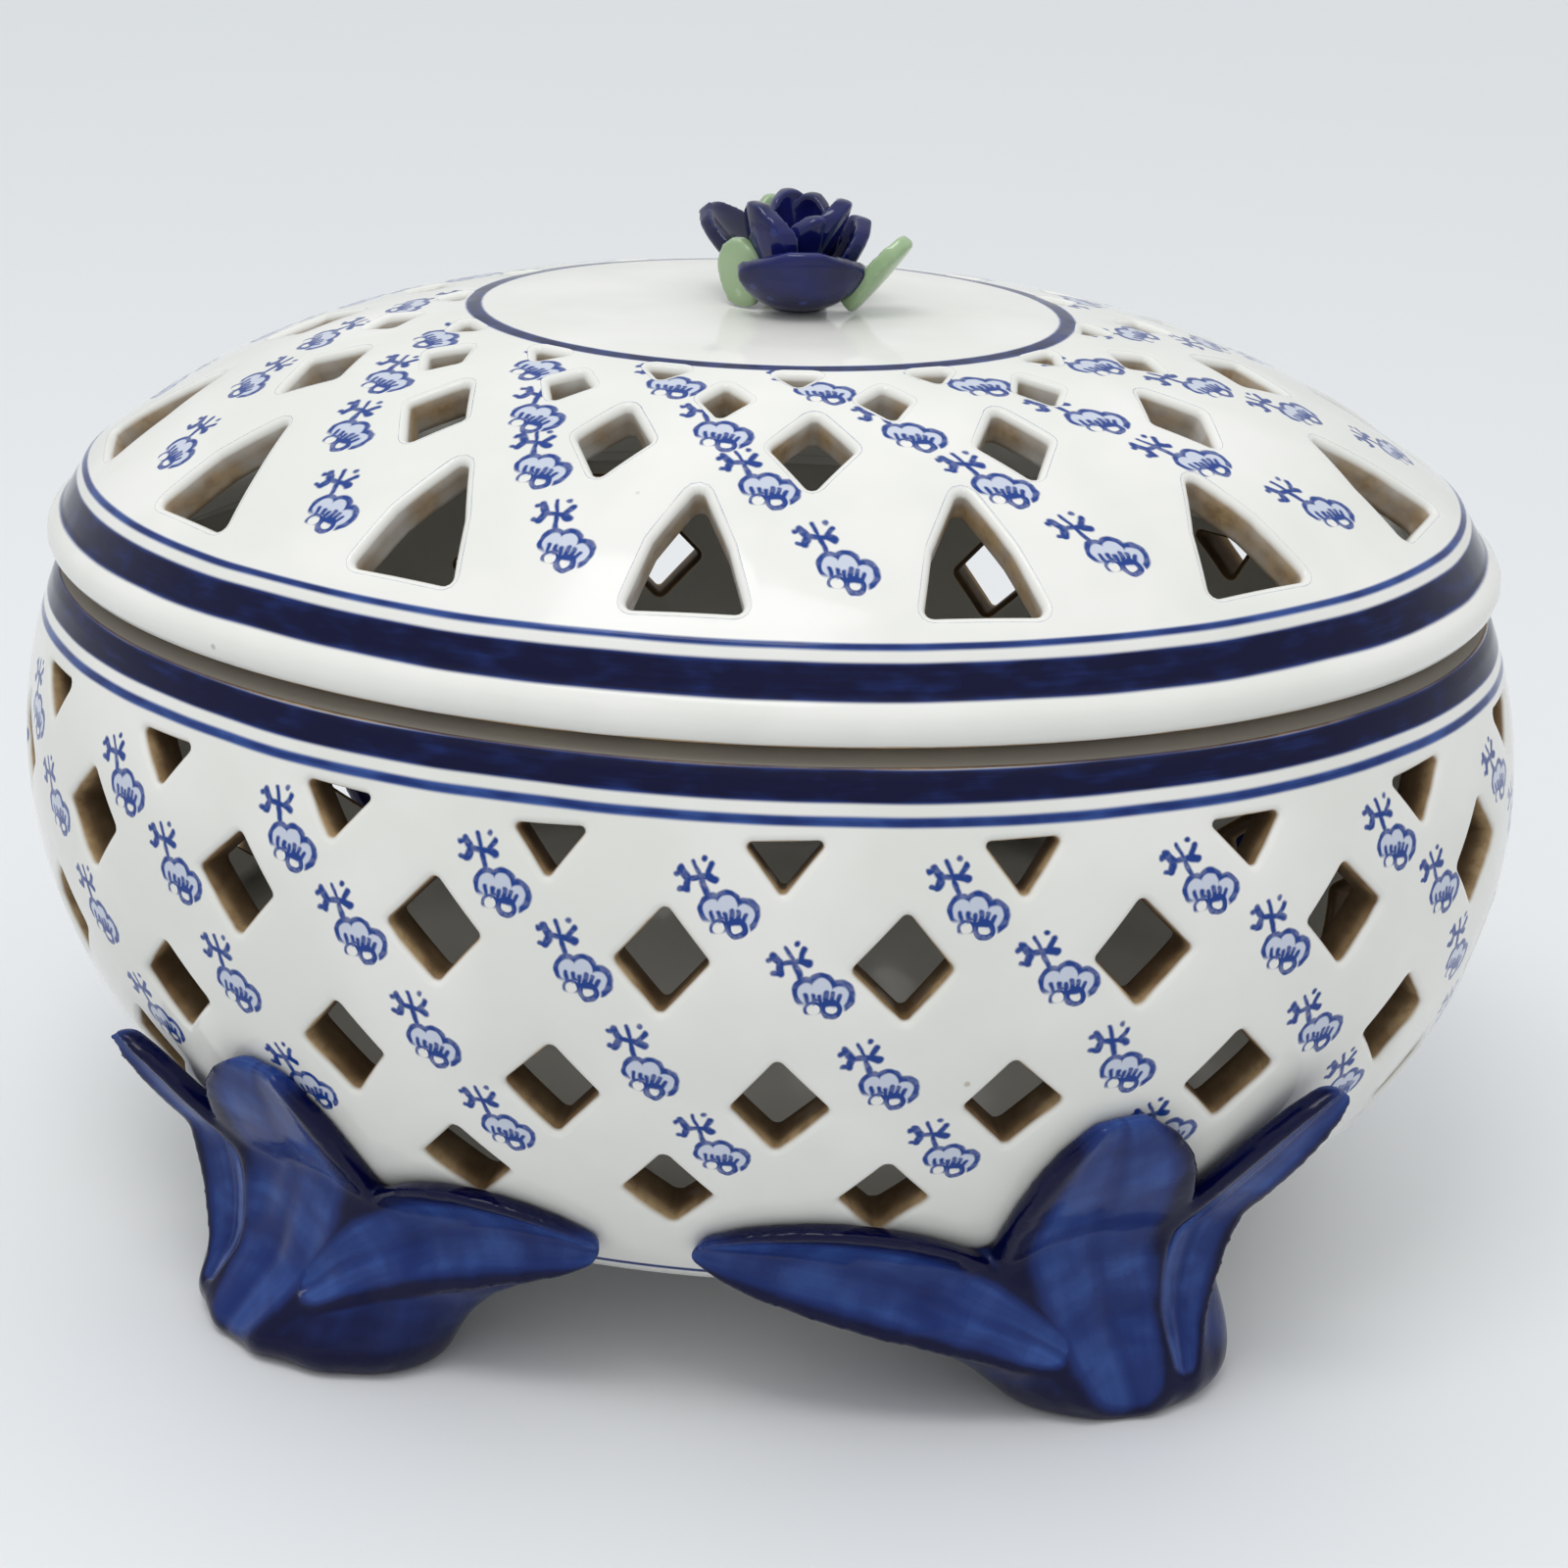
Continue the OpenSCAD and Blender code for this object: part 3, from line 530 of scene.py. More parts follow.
# Painted shade: the inside of the bowl is greyer, as under the lid
body = mk.mix(given["Inside"], body, GLAZE_INSIDE_SHADE)
grain = mk.noise(given["Place"], 520.0, 3.0, 0.6).outputs["Fac"]
patch = mk.noise(given["Place"], 120.0, 2.0).outputs["Fac"]
clay = mk.mix(mk.step(patch, 0.3, 0.7), CLAY_DARK, CLAY_PALE)
clay = mk.mix(mk.step(grain, 0.35, 0.75, 0.0, 0.5), clay, CLAY_GRAIN)
# Painted shade: bare clay turns dark brown deeper in the bowl's hole walls
clay = mk.mix(mk.step(given["Bare"], 0.95, 1.45, 0.0, 0.8), clay, CLAY_SHADED)
# Painted shade: the seat under the lid is a shaded grey over its unglazed clay
clay = mk.mix(mk.step(given["Bare"], 1.5, 1.9), clay, CLAY_WIPED_AND_SHADED)
ragged = mk.math("ADD", given["Bare"], mk.math("MULTIPLY", mk.math("SUBTRACT", patch, 0.5), 0.7))
worn = mk.step(ragged, 0.3, 0.75)
mk.feed(put["Color"], mk.mix(worn, body, clay))
mk.feed(put["Roughness"], mk.step(worn, 0.0, 1.0, 0.12, 0.75))
slow = mk.noise(given["Place"], 60.0, 2.0).outputs["Fac"]
mk.feed(put["Ripple"], mk.math("MULTIPLY_ADD", grain, mk.math("MULTIPLY_ADD", worn, 0.25, 0.015), slow))
mk.feed(put["Clay"], worn)
glaze = mk.tree

# Cobalt laid on with a full brush: darker where it pooled, thin and streaked where the hairs lifted
COBALT_THIN, COBALT_EVEN, COBALT_POOLED = tone(54, 84, 150), tone(24, 45, 106), tone(3, 6, 48)
mk, given, put = effect_group(
    "cobalt_wash", {"Along": "Float", "Across": "Float", "Depth": "Float"}, {"Color": "Color"})


def streaks(along, across, detail, rough=0.5):
    """Noise about zero that is drawn out along the brush."""
    drawn = mk.pair(mk.math("MULTIPLY", given["Along"], along), mk.math("MULTIPLY", given["Across"], across))
    return mk.math("SUBTRACT", mk.noise(drawn, 1.0, detail, rough).outputs["Fac"], 0.5)


hairs, pools = streaks(0.05, 0.9, 4.0, 0.6), streaks(0.16, 0.2, 2.0)
uneven = mk.math("ADD", mk.math("MULTIPLY", hairs, 0.38), mk.math("MULTIPLY", pools, 0.95))
load_share = mk.math("ADD", given["Depth"], uneven)
thin = mk.mix(mk.step(load_share, 0.0, 0.5), COBALT_THIN, COBALT_EVEN)
mk.feed(put["Color"], mk.mix(mk.step(load_share, 0.4, 1.0), thin, COBALT_POOLED))
cobalt_wash = mk.tree
WASH_BLUE, INK_BLUE = tone(136, 160, 210), tone(26, 60, 134)


def painted_band(mk, height, low, high, soft=0.25):
    """Mask of a painted line round the piece, between two heights on its wrap."""
    return mk.math("MULTIPLY", mk.step(height, low - soft, low + soft),
                   mk.step(height, high - soft, high + soft, 1.0, 0.0))


def porcelain(name, bands, sprigs, sprig_scale):
    """Glazed white: bands are low, high and depth of colour, sprigs are pitch, split and two rows."""
    made, mk, shader = new_material(name)
    wrap = mk.node("UVMap", {"uv_map": "wrap"}).outputs[0]
    place = mk.node("TexCoord").outputs["Object"]
    bare = mk.node("Attribute", {"attribute_name": "bare"}).outputs["Fac"]
    spot = mk.node("SeparateXYZ", None, Vector=wrap).outputs
    inside = mk.step(spot["Y"], INSIDE * 0.9, INSIDE * 0.8, 1.0, 0.0)
    ground = mk.effect(glaze, Place=place, Bare=bare, Inside=inside)
    inks, washes = [], []
    width, height = sprig_scale(mk, spot)
    for pitch, split, upper, lower in sprigs:
        rows = mk.effect(sprig_rows, Wrap=wrap, Pitch=pitch, Split=split, Width=width, Height=height,
                         Upper_Share=upper[0], Upper_Height=upper[1],
                         Lower_Share=lower[0], Lower_Height=lower[1])
        inks.append(rows["Ink"])
        washes.append(rows["Wash"])
    keep = mk.step(ground["Clay"], 0.0, 0.5, 1.0, 0.0)
    colour = mk.mix(mk.math("MULTIPLY", mk.highest(washes), 0.42), ground["Color"], WASH_BLUE)
    colour = mk.mix(mk.math("MULTIPLY", mk.highest(inks), keep), colour, INK_BLUE)
    waver = mk.math("MULTIPLY", mk.math("SUBTRACT", mk.noise(place, 30.0, 2.0).outputs["Fac"], 0.5), 0.9)
    level = mk.math("ADD", spot["Y"], waver)
    along, across = mk.math("MULTIPLY", spot["X"], 1.5), mk.math("MULTIPLY", spot["Y"], 2.0)
    for low, high, depth in bands:
        loaded = painted_band(mk, level, low + 0.2, high - 0.2, 0.45)
        full = mk.math("MULTIPLY_ADD", loaded, depth * 0.75, depth * 0.25)
        paint = mk.effect(cobalt_wash, Along=along, Across=across, Depth=full)
        colour = mk.mix(painted_band(mk, level, low, high), colour, paint["Color"])
    mk.feed(shader["Base Color"], colour)
    mk.feed(shader["Roughness"], ground["Roughness"])
    bump = mk.node("Bump", None, Height=ground["Ripple"], Strength=0.2, Distance=0.0012)
    mk.feed(shader["Normal"], bump.outputs["Normal"])
    shader["Specular IOR Level"].default_value = 0.16
    shader["Coat Weight"].default_value = 0.1
    shader["Coat Roughness"].default_value = 0.04
    return made


def bowl_scales(mk, spot):
    """Millimetres to a degree round the bowl and to an arc up its side."""
    return bowl_scale, 1.0


rim_arc, base_line = side_arc(RIM_Z), side_arc(18.4)
bowl_paint = porcelain(
    "bowl_porcelain",
    [(side_arc(87.6), rim_arc + 0.5, 0.95), (side_arc(85.0), side_arc(86.2), 0.35),
     (base_line - 0.55, base_line + 0.55, 0.5)],
    [(BOWL_STEP, -1.0, (5.2, 10.0), (17.4, -12.0)), (BOWL_STEP, -11.6, (12.0, 0.8), (5.0, -24.0))],
    bowl_scales)
bowl = bpy.data.objects.new("bowl_body", make_bowl())
bowl.data.materials.append(bowl_paint)
bpy.context.collection.objects.link(bowl)
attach(bowl, "bowl")
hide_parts("bowl")

# Lid: an oval porcelain dome with a rolled edge and a flange that drops into the bowl's mouth. Its rings of
# holes are cut through the soft clay and glazed over. It lies loose on the bowl's flat seat.
CROWN_HALF, CROWN_Z, LID_WALL = 28.0, 126.5, 5.0    # the crown is flat in its middle
ROLL_A, ROLL_Z, ROLL_R = 94.06, 96.3, 2.9
SHOULDER_A, SHOULDER_Z = 91.83, 104.4
DOME_RUN, DOME_RISE = SHOULDER_A - CROWN_HALF, CROWN_Z - SHOULDER_Z
DOME_R = (DOME_RUN ** 2 + DOME_RISE ** 2) / (2 * DOME_RISE)
LID_COLUMNS = 14
LID_STEP = 360 / LID_COLUMNS
DOME_END = 90.3    # half length at which the dome runs into its shoulder


def dome_arc(a):
    return a if a < CROWN_HALF else CROWN_HALF + DOME_R * asin((a - CROWN_HALF) / DOME_R)


def dome_point(share, arc, depth=0.0):
    """Point at a share round the lid and an arc from its middle, sunk by a depth into the wall."""
    share, arc, depth = np.broadcast_arrays(np.asarray(share, float), arc, depth)
    t, lean = around(share), np.maximum(arc - CROWN_HALF, 0) / DOME_R
    a = np.where(arc < CROWN_HALF, arc, CROWN_HALF + DOME_R * np.sin(lean))
    point = np.stack([a * np.sin(t), -OVAL * a * np.cos(t), CROWN_Z - DOME_R * (1 - np.cos(lean))], -1)
    out = np.stack([np.tan(lean) * np.sin(t), -np.tan(lean) * np.cos(t) / OVAL, np.ones_like(t)], -1)
    return point - depth[..., None] * out / np.linalg.norm(out, axis=-1, keepdims=True)


def dome_place(points):
    """Share and arc of the dome's surface below or above points near it."""
    a = np.hypot(points[:, 0], points[:, 1] / OVAL)
    t = np.degrees(np.arctan2(points[:, 0], -points[:, 1] / OVAL))
    share = t
    for _ in range(6):
        share = t + SPREAD * np.sin(np.radians(2 * share))
    return share, CROWN_HALF + DOME_R * np.arcsin((a - CROWN_HALF) / DOME_R)


def lid_hole(share, a, outline, corner_r, grow):
    """Outline of a hole laid flat on the dome at its own spot, as shares and arcs."""
    loop = hole_loop(outline, corner_r, grow)
    arc = dome_arc(a)
    spot = dome_point(share, arc)
    across = dome_point(share + 0.2, arc) - spot
    across[2] = 0
    across /= np.linalg.norm(across)
    out = spot - dome_point(share, arc, 1.0)
    up = np.cross(out, across)
    flat = spot + loop[:, :1] * across + loop[:, 1:] * up
    for _ in range(4):
        s, v = dome_place(flat)
        flat = flat + ((dome_point(s, v) - flat) @ out)[:, None] * out
    return dome_place(flat)


def disc(share, arc):
    return np.stack([arc * np.sin(np.radians(share)), -arc * np.cos(np.radians(share))], -1)


EDGE_ARC = dome_arc(DOME_END) + 1.0
UNPAINTED = EDGE_ARC + 20    # wrap height under the edge, below all paint
PANEL_ARC = dome_arc(39.0)
LID_TURNS, RING_GAP = 196, 2.7    # points round the lid's edge, and gap between the rings within it


def make_lid():
    shell = Shell()
    holes = []
    for i in range(LID_COLUMNS):
        on_step, off_step = i * LID_STEP, (i + 0.5) * LID_STEP
        holes += [(on_step, 87.8, hand_cut([(7.1, 0), (4.4, 9.0), (0, 18.0), (-4.4, 9.0), (-7.1, 0)]), 0.9),
                  (off_step, 61.5, hand_cut(diamond(4.6, 6.8)), 0.7),
                  (on_step, 50.0, hand_cut(diamond(2.9, 3.6)), 0.5), (off_step, 41.0, drop(2.7, 3.2), 0.4)]
    loops = [disc(*lid_hole(*hole, EDGE_R)) for hole in holes]
    end_arc = dome_arc(DOME_END)
    turns = np.arange(LID_TURNS + 1) * 360 / LID_TURNS - 180
    fill = [(0.0, 0.0)]
    for k, arc in enumerate(np.arange(3.0, end_arc - 1.0, RING_GAP)):
        spots = max(12, int(arc * 2.2))
        fill += list(disc(np.arange(spots) * 360 / spots + 4 * k, arc))
    fill = clear_of(np.array(fill), loops, 0.7)
    flat, faces = pierced_sheet(disc(turns[:-1], end_arc), fill, loops)
    arc = np.linalg.norm(flat, axis=1)
    share = np.degrees(np.arctan2(flat[:, 0], -flat[:, 1]))
    outer = shell.add(dome_point(share, arc), np.stack([share, arc], 1))
    inner = shell.add(dome_point(share, arc, LID_WALL), np.stack([share, arc * 0], 1))

    def wall_row(hole, grow, depth):
        share, arc = lid_hole(*hole, grow)
        return dome_point(share, arc, depth), np.stack([share, arc * 0], 1)

    shell.pierce(faces, outer, inner, LID_TURNS, holes, loops,
                 hole_rings(LID_WALL, 0.1, 0.45, [(0.5, 0.62)], 0.55), wall_row)

    # Edge: soft shoulder, leaning band and roll, as half length, height, wrap and bareness
    profile = [(DOME_END, dome_point(90.0, end_arc)[2], end_arc, 0), (91.1, 104.95, EDGE_ARC + 0.2, 0),
               (91.65, 104.55, EDGE_ARC + 0.9, 0), (92.05, 103.95, EDGE_ARC + 1.6, 0),
               (93.3, 101.9, EDGE_ARC + 4.0, 0), (94.4, 100.0, EDGE_ARC + 6.2, 0),
               (94.75, 99.35, EDGE_ARC + 6.95, 0)]
    for angle, bare in ((62, 0), (40, 0), (18, 0), (-5, 0), (-28, 0), (-46, 0.2), (-58, 0.6), (-70, 0.9),
                        (-84, 1)):
        profile.append((ROLL_A + ROLL_R * cos(radians(angle)), ROLL_Z + ROLL_R * sin(radians(angle)),
                        EDGE_ARC + 7.6 + (62 - angle) * 0.05, bare))
    rows = [shell.ring(turns, a, a * OVAL, z, arc, bare) for a, z, arc, bare in profile]
    # Underside, flange in the mouth and wall up to the dome, as half length, half width, height, bareness
    mouth_a, mouth_b = side_a(RIM_Z) - MOUTH_INSET, side_a(RIM_Z) * OVAL - MOUTH_INSET
    inner_b = 87.1 * (SHOULDER_A * OVAL - LID_WALL) / (SHOULDER_A - LID_WALL)
    below = [(mouth_a - inset, mouth_b - inset, z, bare) for inset, z, bare in (
        (-1.9, SEAT_Z + 0.02, 0.9), (1.0, SEAT_Z, 0.8), (0.95, 92.6, 0.4), (0.95, 88.6, 0.2),
        (1.5, 87.95, 0.3), (3.4, 87.95, 0.3), (4.1, 88.5, 0.1), (4.1, 95.9, 0.0))]
    below += [(86.2, inner_b - 0.9, 96.4, 0.0), (86.9, inner_b - 0.3, 97.2, 0.0), (87.0, inner_b, 101.0, 0.0)]
    rows += [shell.ring(turns, a, b, z, UNPAINTED, bare) for a, b, z, bare in below]
    rows.append(shell.add(dome_point(turns, end_arc, LID_WALL), np.stack([turns, turns * 0 + UNPAINTED], 1)))
    shell.loft(rows[::-1])
    return shell.mesh("lid_dome")


def lid_scales(mk, spot):
    """Millimetres to a degree round the lid and to its arc, which is shorter at front and back."""
    ends = mk.math("COSINE", mk.math("MULTIPLY", spot["X"], pi / 90))
    return mk.math("MULTIPLY", spot["Y"], 0.97 * OVAL_GIRTH), mk.math("MULTIPLY_ADD", ends, 0.087, -0.91)


lid_paint = porcelain(
    "lid_porcelain",
    [(EDGE_ARC + 2.5, EDGE_ARC + 7.3, 0.92), (EDGE_ARC, EDGE_ARC + 1.1, 0.4),
     (PANEL_ARC - 1.1, PANEL_ARC + 1.1, 0.7)],
    [(LID_STEP, 71.0, (14.4, dome_arc(82.0)), (0.9, dome_arc(59.7))),
     (LID_STEP, 57.5, (7.5, dome_arc(70.0)), (17.0, dome_arc(48.0)))],
    lid_scales)
lid = bpy.data.objects.new("lid_dome", make_lid())
lid.data.materials.append(lid_paint)
bpy.context.collection.objects.link(lid)
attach(lid, "lid")
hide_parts("lid")

# Leaf feet: each corner has a clay hoof with three leaves pressed on it and smoothed down with a wet finger,
# then brushed with cobalt. Foot and leaves are one body once luted, so each corner is one piece here.
FOOT_ANGLE = 34.5    # place round the bowl, from the front
FACE_JOIN_Z = 24.0    # height at which the foot's face leaves the bowl's side
FOOT_STRETCH = sqrt(cos(radians(FOOT_ANGLE)) ** 2 + (OVAL * sin(radians(FOOT_ANGLE))) ** 2)
FACE_FLARE = 15.0 * 0.45 / FOOT_STRETCH
FOOT_KINDS = ("foot_", "upright_leaf_", "long_leaf_", "end_leaf_")
FOOT_VOXEL, FOOT_PASSES, FOOT_SOFT = 0.42, 20, 22    # grain of the kneaded clay, and how long it is smoothed
LEAF_SHORT = 0.86    # length of the leaves on the left feet, against the right ones


def softened(name, nodes, voxel, passes, soft):
    """The named solids kneaded into one soft-edged mesh."""
    pieces = bmesh.new()
    for node in nodes:
        pieces.from_mesh(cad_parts[node].data)
    mesh = bpy.data.meshes.new(name)
    pieces.to_mesh(mesh)
    pieces.free()
    made = bpy.data.objects.new(name, mesh)
    bpy.context.collection.objects.link(made)
    knead = made.modifiers.new("knead", "REMESH")
    knead.mode, knead.voxel_size = "VOXEL", voxel * MM
    bpy.context.view_layer.update()
    made.data = bpy.data.meshes.new_from_object(made.evaluated_get(bpy.context.evaluated_depsgraph_get()))
    made.modifiers.clear()
    made.data.name = name
    made.data.materials.clear()
    made.data.shade_smooth()
    stroke(made.data, [0.6, -0.62] * passes + [0.5] * soft)
    return made


def stroke(mesh, pulls, share=1.0):
    """Smooths a mesh by pulling each point towards, or pushing it from, the mean of its neighbours."""
    ends = np.empty(len(mesh.edges) * 2, np.int32)
    mesh.edges.foreach_get("vertices", ends)
    one, two = ends[0::2], ends[1::2]
    points = mesh_points(mesh)
    count = np.bincount(ends, minlength=len(points))[:, None]
    for pull in pulls:
        total = [np.bincount(one, points[two, k], len(points)) + np.bincount(two, points[one, k], len(points))
                 for k in range(3)]
        points += pull * share * (np.stack(total, 1) / count - points)
    points[:, 2] = np.maximum(points[:, 2], 0)
    mesh.vertices.foreach_set("co", points.astype(np.float32).ravel())
    mesh.update()


def mesh_points(mesh, kind="co"):
    data = np.empty(len(mesh.vertices) * 3, np.float32)
    source = mesh.vertices if kind == "co" else mesh.vertex_normals
    source.foreach_get("co" if kind == "co" else "vector", data)
    return data.reshape(-1, 3).astype(float)


def point_values(mesh, name, values):
    layer = mesh.attributes.new(name, "FLOAT", "POINT")
    layer.data.foreach_set("value", np.asarray(values, np.float32))


def leaf_lines(share):
    """Lines of a corner's leaves as root, bend and tip, with half width, root and bluntness."""
    upright_z, long_z = 47.0 * (1 + share) / 2, 25.5
    long_bend = (-26.1 * share, long_z * (1.45 - 0.45 * share))
    long_tip = (-47.5 * share, long_z * (0.3 + 0.7 * share))
    return [((2.3, 7.0), (-1.1, upright_z * 0.5), (-4.1, upright_z), 11.4, 0.34, 1.9),
            ((-7.4, 11.9), long_bend, long_tip, 7.4, 0.14, 1.2),
            ((10.8, 7.0), (12.5 * share, 27.6 * share), (25.0 * share, 46.0 * share), 6.0, 0.1, 1.2)]


def leaf_places(u, z, share):
    """For points on a foot's face: nearness to a leaf's edge, side of its rib, way along it, its number."""
    best = np.full((4, len(u)), 9.0)
    batch = 4000
    s = np.linspace(0, 0.985, 60)
    for k, (root, bend, tip, half_w, root_w, blunt) in enumerate(leaf_lines(share)):
        line = np.outer((1 - s) ** 2, root) + np.outer(2 * s * (1 - s), bend) + np.outer(s ** 2, tip)
        ahead = np.gradient(line, axis=0)
        ahead /= np.linalg.norm(ahead, axis=1, keepdims=True)
        width = half_w * np.maximum(np.sqrt(np.sin(pi * (root_w + (1 - root_w) * s) ** blunt)), 0.12)
        for first in range(0, len(u), batch):
            part = slice(first, first + batch)
            away = np.stack([u[part], z[part]], 1)[:, None] - line[None]
            far = np.linalg.norm(away, axis=2)
            i = (far / width).argmin(1)
            pick = np.arange(len(i))
            edge = far[pick, i] / width[i]
            side = (ahead[i, 0] * away[pick, i, 1] - ahead[i, 1] * away[pick, i, 0]) / width[i]
            nearer = edge < best[0, part]
            for row, value in enumerate((edge, side, s[i], np.full(len(i), float(k)))):
                best[row, part] = np.where(nearer, value, best[row, part])
    return best


def foot_places(points):
    """Height, distance round from the foot's middle and half length of the foot's face for each point."""
    x, y, z = np.abs(points[:, 0]), np.abs(points[:, 1]), points[:, 2]
    face_a = np.where(z > FACE_JOIN_Z, SIDE_A0 + np.sqrt(np.maximum(SIDE_R ** 2 - (z - BELLY_Z) ** 2, 1)),
                      side_a(FACE_JOIN_Z) + FACE_FLARE * np.maximum(1 - z / FACE_JOIN_Z, 0) ** 2)
    return z, (np.arctan2(x, y / OVAL) - radians(FOOT_ANGLE)) * face_a * FOOT_STRETCH, face_a


def make_foot(corner):
    nodes = [kind + corner for kind in FOOT_KINDS]
    made = softened("leaf_foot_" + corner, nodes, FOOT_VOXEL, FOOT_PASSES, FOOT_SOFT)
    mesh = made.data
    share = LEAF_SHORT if corner.endswith("left") else 1.0
    z, u, face_a = foot_places(mesh_points(mesh) / MM)
    edge, side, along, leaf = leaf_places(u, z, share)
    # The hoof below the leaves is rubbed smooth
    hoof = np.clip((edge - 1.0) / 0.25, 0, 1) * np.clip((30 - z) / 8, 0, 1)
    stroke(mesh, [0.5] * 50, hoof[:, None])
    # On the outward face, leaves are hollowed with a rib pressed in and the hoof is left faintly ridged
    points, normals = mesh_points(mesh) / MM, mesh_points(mesh, "normal")
    outward = np.clip((np.hypot(points[:, 0], points[:, 1] / OVAL) - face_a - 1.0) / 2.0, 0, 1)
    radial = points * (1, 1 / OVAL ** 2, 0)
    radial /= np.linalg.norm(radial, axis=1, keepdims=True)
    facing = np.clip(((normals * radial).sum(1) - 0.2) / 0.6, 0, 1) * outward
    on_leaf = np.clip((0.95 - edge) / 0.4, 0, 1) * facing
    rib = np.exp(-(side / 0.16) ** 2) * np.clip(1.1 - along, 0, 1)
    sink = -0.3 + on_leaf * (0.7 * (1 - np.clip(edge, 0, 1) ** 2) + 0.3 * rib)
    sink += 0.2 * facing * np.sin(u * 0.8 + 1.3 * np.sin(z * 0.21)) * np.clip(1.2 - z / 22, 0, 1)
    pressed = points - normals * sink[:, None]
    pressed[:, 2] = np.maximum(pressed[:, 2], 0)
    mesh.vertices.foreach_set("co", (pressed * MM).astype(np.float32).ravel())
    point_values(mesh, "leaf_edge", np.clip(edge, 0, 2))
    point_values(mesh, "leaf_side", side)
    point_values(mesh, "leaf_along", along + leaf)
    point_values(mesh, "round", u)
    mesh.materials.append(foot_paint)
    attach(made, "bowl")
    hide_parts(*nodes)


foot_paint, mk, shader = new_material("brushed_cobalt")


def read(name):
    return mk.node("Attribute", {"attribute_name": name}).outputs["Fac"]


place = mk.node("TexCoord").outputs["Object"]
edge, side, along, way_round = read("leaf_edge"), read("leaf_side"), read("leaf_along"), read("round")
inside = mk.step(edge, 0.98, 1.1, 1.0, 0.0)
rim = mk.math("MULTIPLY", mk.step(edge, 0.55, 0.9), mk.step(edge, 1.0, 1.25, 1.0, 0.55))
rib = mk.math("MULTIPLY", mk.step(mk.math("ABSOLUTE", side), 0.03, 0.2, 1.0, 0.0), inside)
height = mk.math("MULTIPLY", mk.node("SeparateXYZ", None, Vector=place).outputs["Z"], 1 / MM)
foot_dark = mk.step(height, 0.5, 9.0, 0.5, 0.0)
leaf_depth = mk.math("ADD", mk.math("MULTIPLY_ADD", rim, 0.75, 0.34), mk.math("MULTIPLY", rib, 0.12))
on_leaf = mk.effect(cobalt_wash, Along=mk.math("MULTIPLY", along, 40.0),
                    Across=mk.math("MULTIPLY", side, 3.0), Depth=leaf_depth)["Color"]
on_hoof = mk.effect(cobalt_wash, Along=height, Across=mk.math("MULTIPLY", way_round, 0.3),
                    Depth=mk.math("ADD", foot_dark, 0.66))["Color"]
mk.feed(shader["Base Color"], mk.mix(inside, on_hoof, on_leaf))
shader["Roughness"].default_value = 0.2
shader["Specular IOR Level"].default_value = 0.16
shader["Coat Weight"].default_value = 0.1
shader["Coat Roughness"].default_value = 0.08
ripple = mk.noise(place, 150.0, 2.0).outputs["Fac"]
bump = mk.node("Bump", None, Height=ripple, Strength=0.2, Distance=0.0015)
mk.feed(shader["Normal"], bump.outputs["Normal"])
for corner in ("front_left", "front_right", "back_left", "back_right"):
    make_foot(corner)

# Flower knob: petals and leaves pinched from thin slabs, curled with the fingers and luted on a small clay
# button, then dipped in thick cobalt, or in pale green for the leaves. It is the lid's handle.
PETAL_VOXEL, PETAL_SOFT = 0.36, 5    # grain of the kneaded clay, and how long it is smoothed


def dipped(name, pool_size, pool_start, dark, light, worn, rough, specular, coat, ripple_size, ripple):
    """Thick glaze that pools unevenly and thins to a worn tone on the clay's edges."""
    made, mk, shader = new_material(name)
    place = mk.node("TexCoord").outputs["Object"]
    pool = mk.noise(place, pool_size, 3.0).outputs["Fac"]
    worn_edge = mk.step(mk.node("NewGeometry").outputs["Pointiness"], 0.51, 0.58)
    colour = mk.mix(mk.step(pool, pool_start, 0.7), dark, light)
    mk.feed(shader["Base Color"], mk.mix(mk.math("MULTIPLY", worn_edge, 0.5), colour, worn))
    mk.feed(shader["Roughness"], mk.step(pool, 0.2, 0.8, *rough))
    shader["Specular IOR Level"].default_value = specular
    shader["Coat Weight"].default_value, shader["Coat Roughness"].default_value = coat
    strength, distance = ripple
    bump = mk.node("Bump", None, Height=mk.noise(place, ripple_size, 2.0).outputs["Fac"], Strength=strength,
                   Distance=distance)
    mk.feed(shader["Normal"], bump.outputs["Normal"])
    return made


petal_paint = dipped("petal_cobalt", 90.0, 0.35, tone(10, 12, 52), tone(22, 27, 92), tone(50, 64, 132),
                     (0.07, 0.16), 0.25, (0.3, 0.04), 130.0, (0.25, 0.0015))
green_paint = dipped("leaf_green_glaze", 120.0, 0.3, tone(132, 160, 116), tone(152, 178, 136),
                     tone(182, 200, 170), (0.12, 0.24), 0.5, (0.4, 0.08), 160.0, (0.2, 0.001))


def make_petal(node, paint, passes):
    made = softened(node + "_clay", [node], PETAL_VOXEL, passes, PETAL_SOFT)
    made.data.materials.append(paint)
    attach(made, "lid")
    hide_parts(node)


make_petal("knob_core", petal_paint, 4)
for i in range(1, 6):
    make_petal(f"outer_petal_{i}", petal_paint, 6)
for i in range(1, 5):
    make_petal(f"inner_petal_{i}", petal_paint, 6)
for i in range(1, 4):
    make_petal(f"green_leaf_{i}", green_paint, 6)

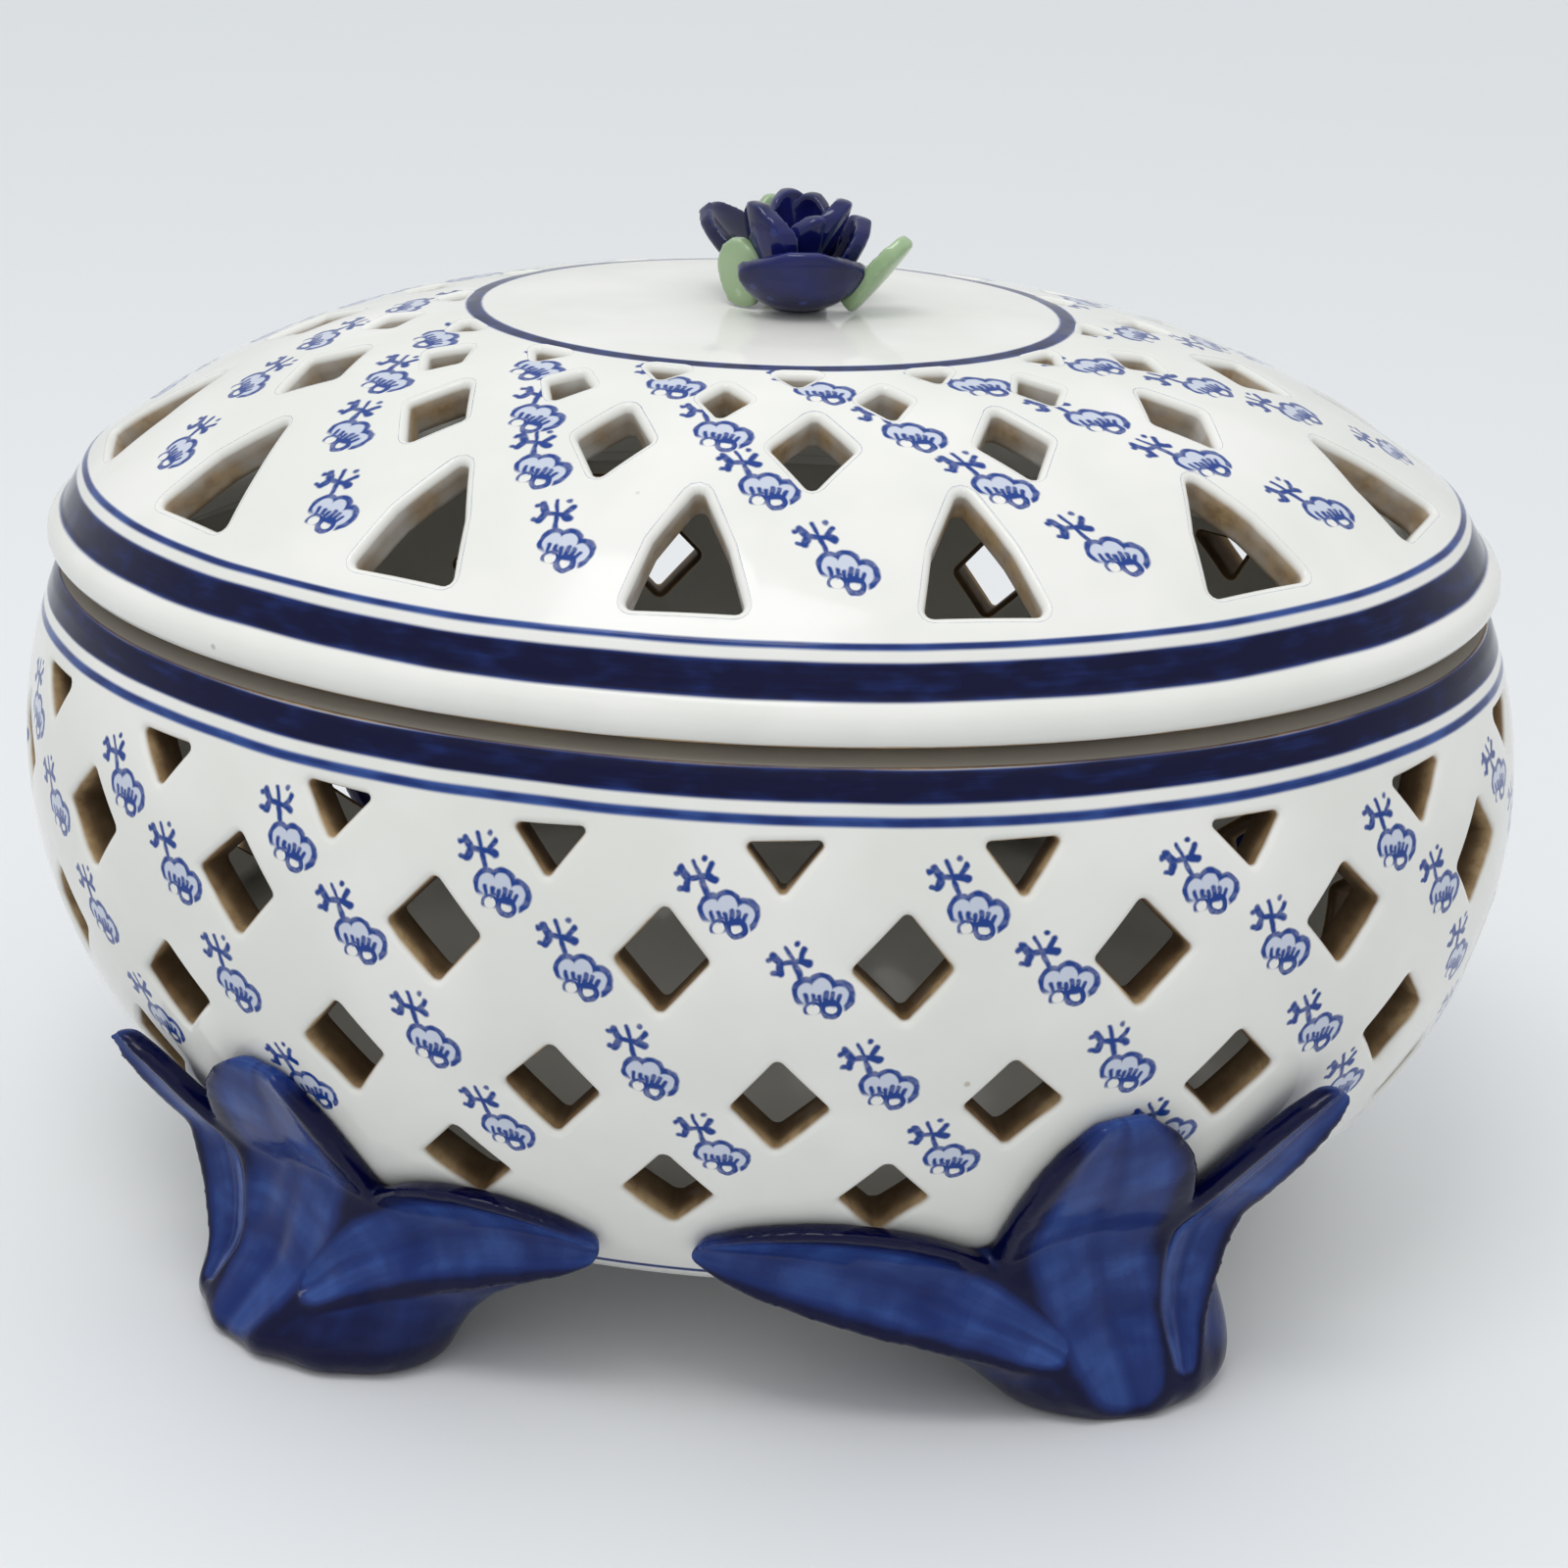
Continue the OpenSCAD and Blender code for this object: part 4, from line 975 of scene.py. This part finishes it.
# Camera and light: the vase stands on a pale sheet under broad soft light from above and in front.
# The camera stands a little to the right of the front and looks down at it, as the photograph does.
floor = bpy.data.objects.new("pale_floor", bpy.data.meshes.new("pale_floor"))
floor.data.from_pydata([(-3, -3, 0), (3, -3, 0), (3, 3, 0), (-3, 3, 0)], [], [(0, 1, 2, 3)])
bpy.context.collection.objects.link(floor)
sheet_paint, mk, shader = new_material("pale_sheet")
place = mk.node("TexCoord").outputs["Object"]
away = mk.vector("LENGTH", place, out="Value")
paper = mk.noise(place, 6.0, 3.0).outputs["Fac"]
pale = mk.mix(mk.step(away, 0.15, 1.2), tone(231, 232, 233), tone(229, 232, 233))
mk.feed(shader["Base Color"], mk.mix(mk.step(paper, 0.3, 0.7, 0.0, 0.05), pale, tone(216, 220, 225)))
shader["Roughness"].default_value = 0.55
floor.data.materials.append(sheet_paint)

SKY_LOW, SKY_HIGH = 0.68, 1.08    # strength of the light from the sides and from above
world = bpy.data.worlds.new("studio")
bpy.context.scene.world = world
world.use_nodes = True
mk = Recipe(world.node_tree)
sky = world.node_tree.nodes["Background"].inputs
sky["Color"].default_value = (0.96, 0.98, 1.0, 1)
rise = mk.node("SeparateXYZ", None, Vector=mk.node("TexCoord").outputs["Generated"]).outputs["Z"]
mk.feed(sky["Strength"], mk.step(rise, 0.3, 0.95, SKY_LOW, SKY_HIGH))

LAMP_PLACE, LAMP_AIM = Vector((-0.1, -0.3, 0.85)), Vector((0, 0, 0.07))
LAMP_W, LAMP_H, LAMP_POWER = 0.4, 0.26, 1.85
lamp = bpy.data.lights.new("key", "AREA")
lamp.shape, lamp.size, lamp.size_y, lamp.energy = "RECTANGLE", LAMP_W, LAMP_H, LAMP_POWER
holder = bpy.data.objects.new("key", lamp)
holder.location = LAMP_PLACE
holder.rotation_euler = (LAMP_AIM - LAMP_PLACE).to_track_quat("-Z", "Y").to_euler()
bpy.context.collection.objects.link(holder)

VIEW_AZ, VIEW_EL, VIEW_DIST, VIEW_ROLL = radians(8.0), radians(22.666), 410.7, radians(1.186)
VIEW_AIM = Vector((0, 0, 58.64)) * MM
SENSOR_W, LENS = 36.0, 67.5
SHIFT_X = 25 / 1600    # of the photograph's width
back = Vector((sin(VIEW_AZ) * cos(VIEW_EL), -cos(VIEW_AZ) * cos(VIEW_EL), sin(VIEW_EL)))
level = Vector((cos(VIEW_AZ), sin(VIEW_AZ), 0))
upward = back.cross(level)
right = level * cos(VIEW_ROLL) + upward * sin(VIEW_ROLL)
top = upward * cos(VIEW_ROLL) - level * sin(VIEW_ROLL)
camera = bpy.data.objects.new("camera", bpy.data.cameras.new("camera"))
camera.data.sensor_width, camera.data.lens, camera.data.shift_x = SENSOR_W, LENS, SHIFT_X
camera.data.clip_start, camera.data.clip_end = 0.01, 20
place = VIEW_AIM + back * VIEW_DIST * MM
camera.matrix_world = Matrix((
    (right.x, top.x, back.x, place.x), (right.y, top.y, back.y, place.y),
    (right.z, top.z, back.z, place.z), (0, 0, 0, 1)))
bpy.context.collection.objects.link(camera)
bpy.context.scene.camera = camera
bpy.context.scene.view_settings.view_transform = "Standard"
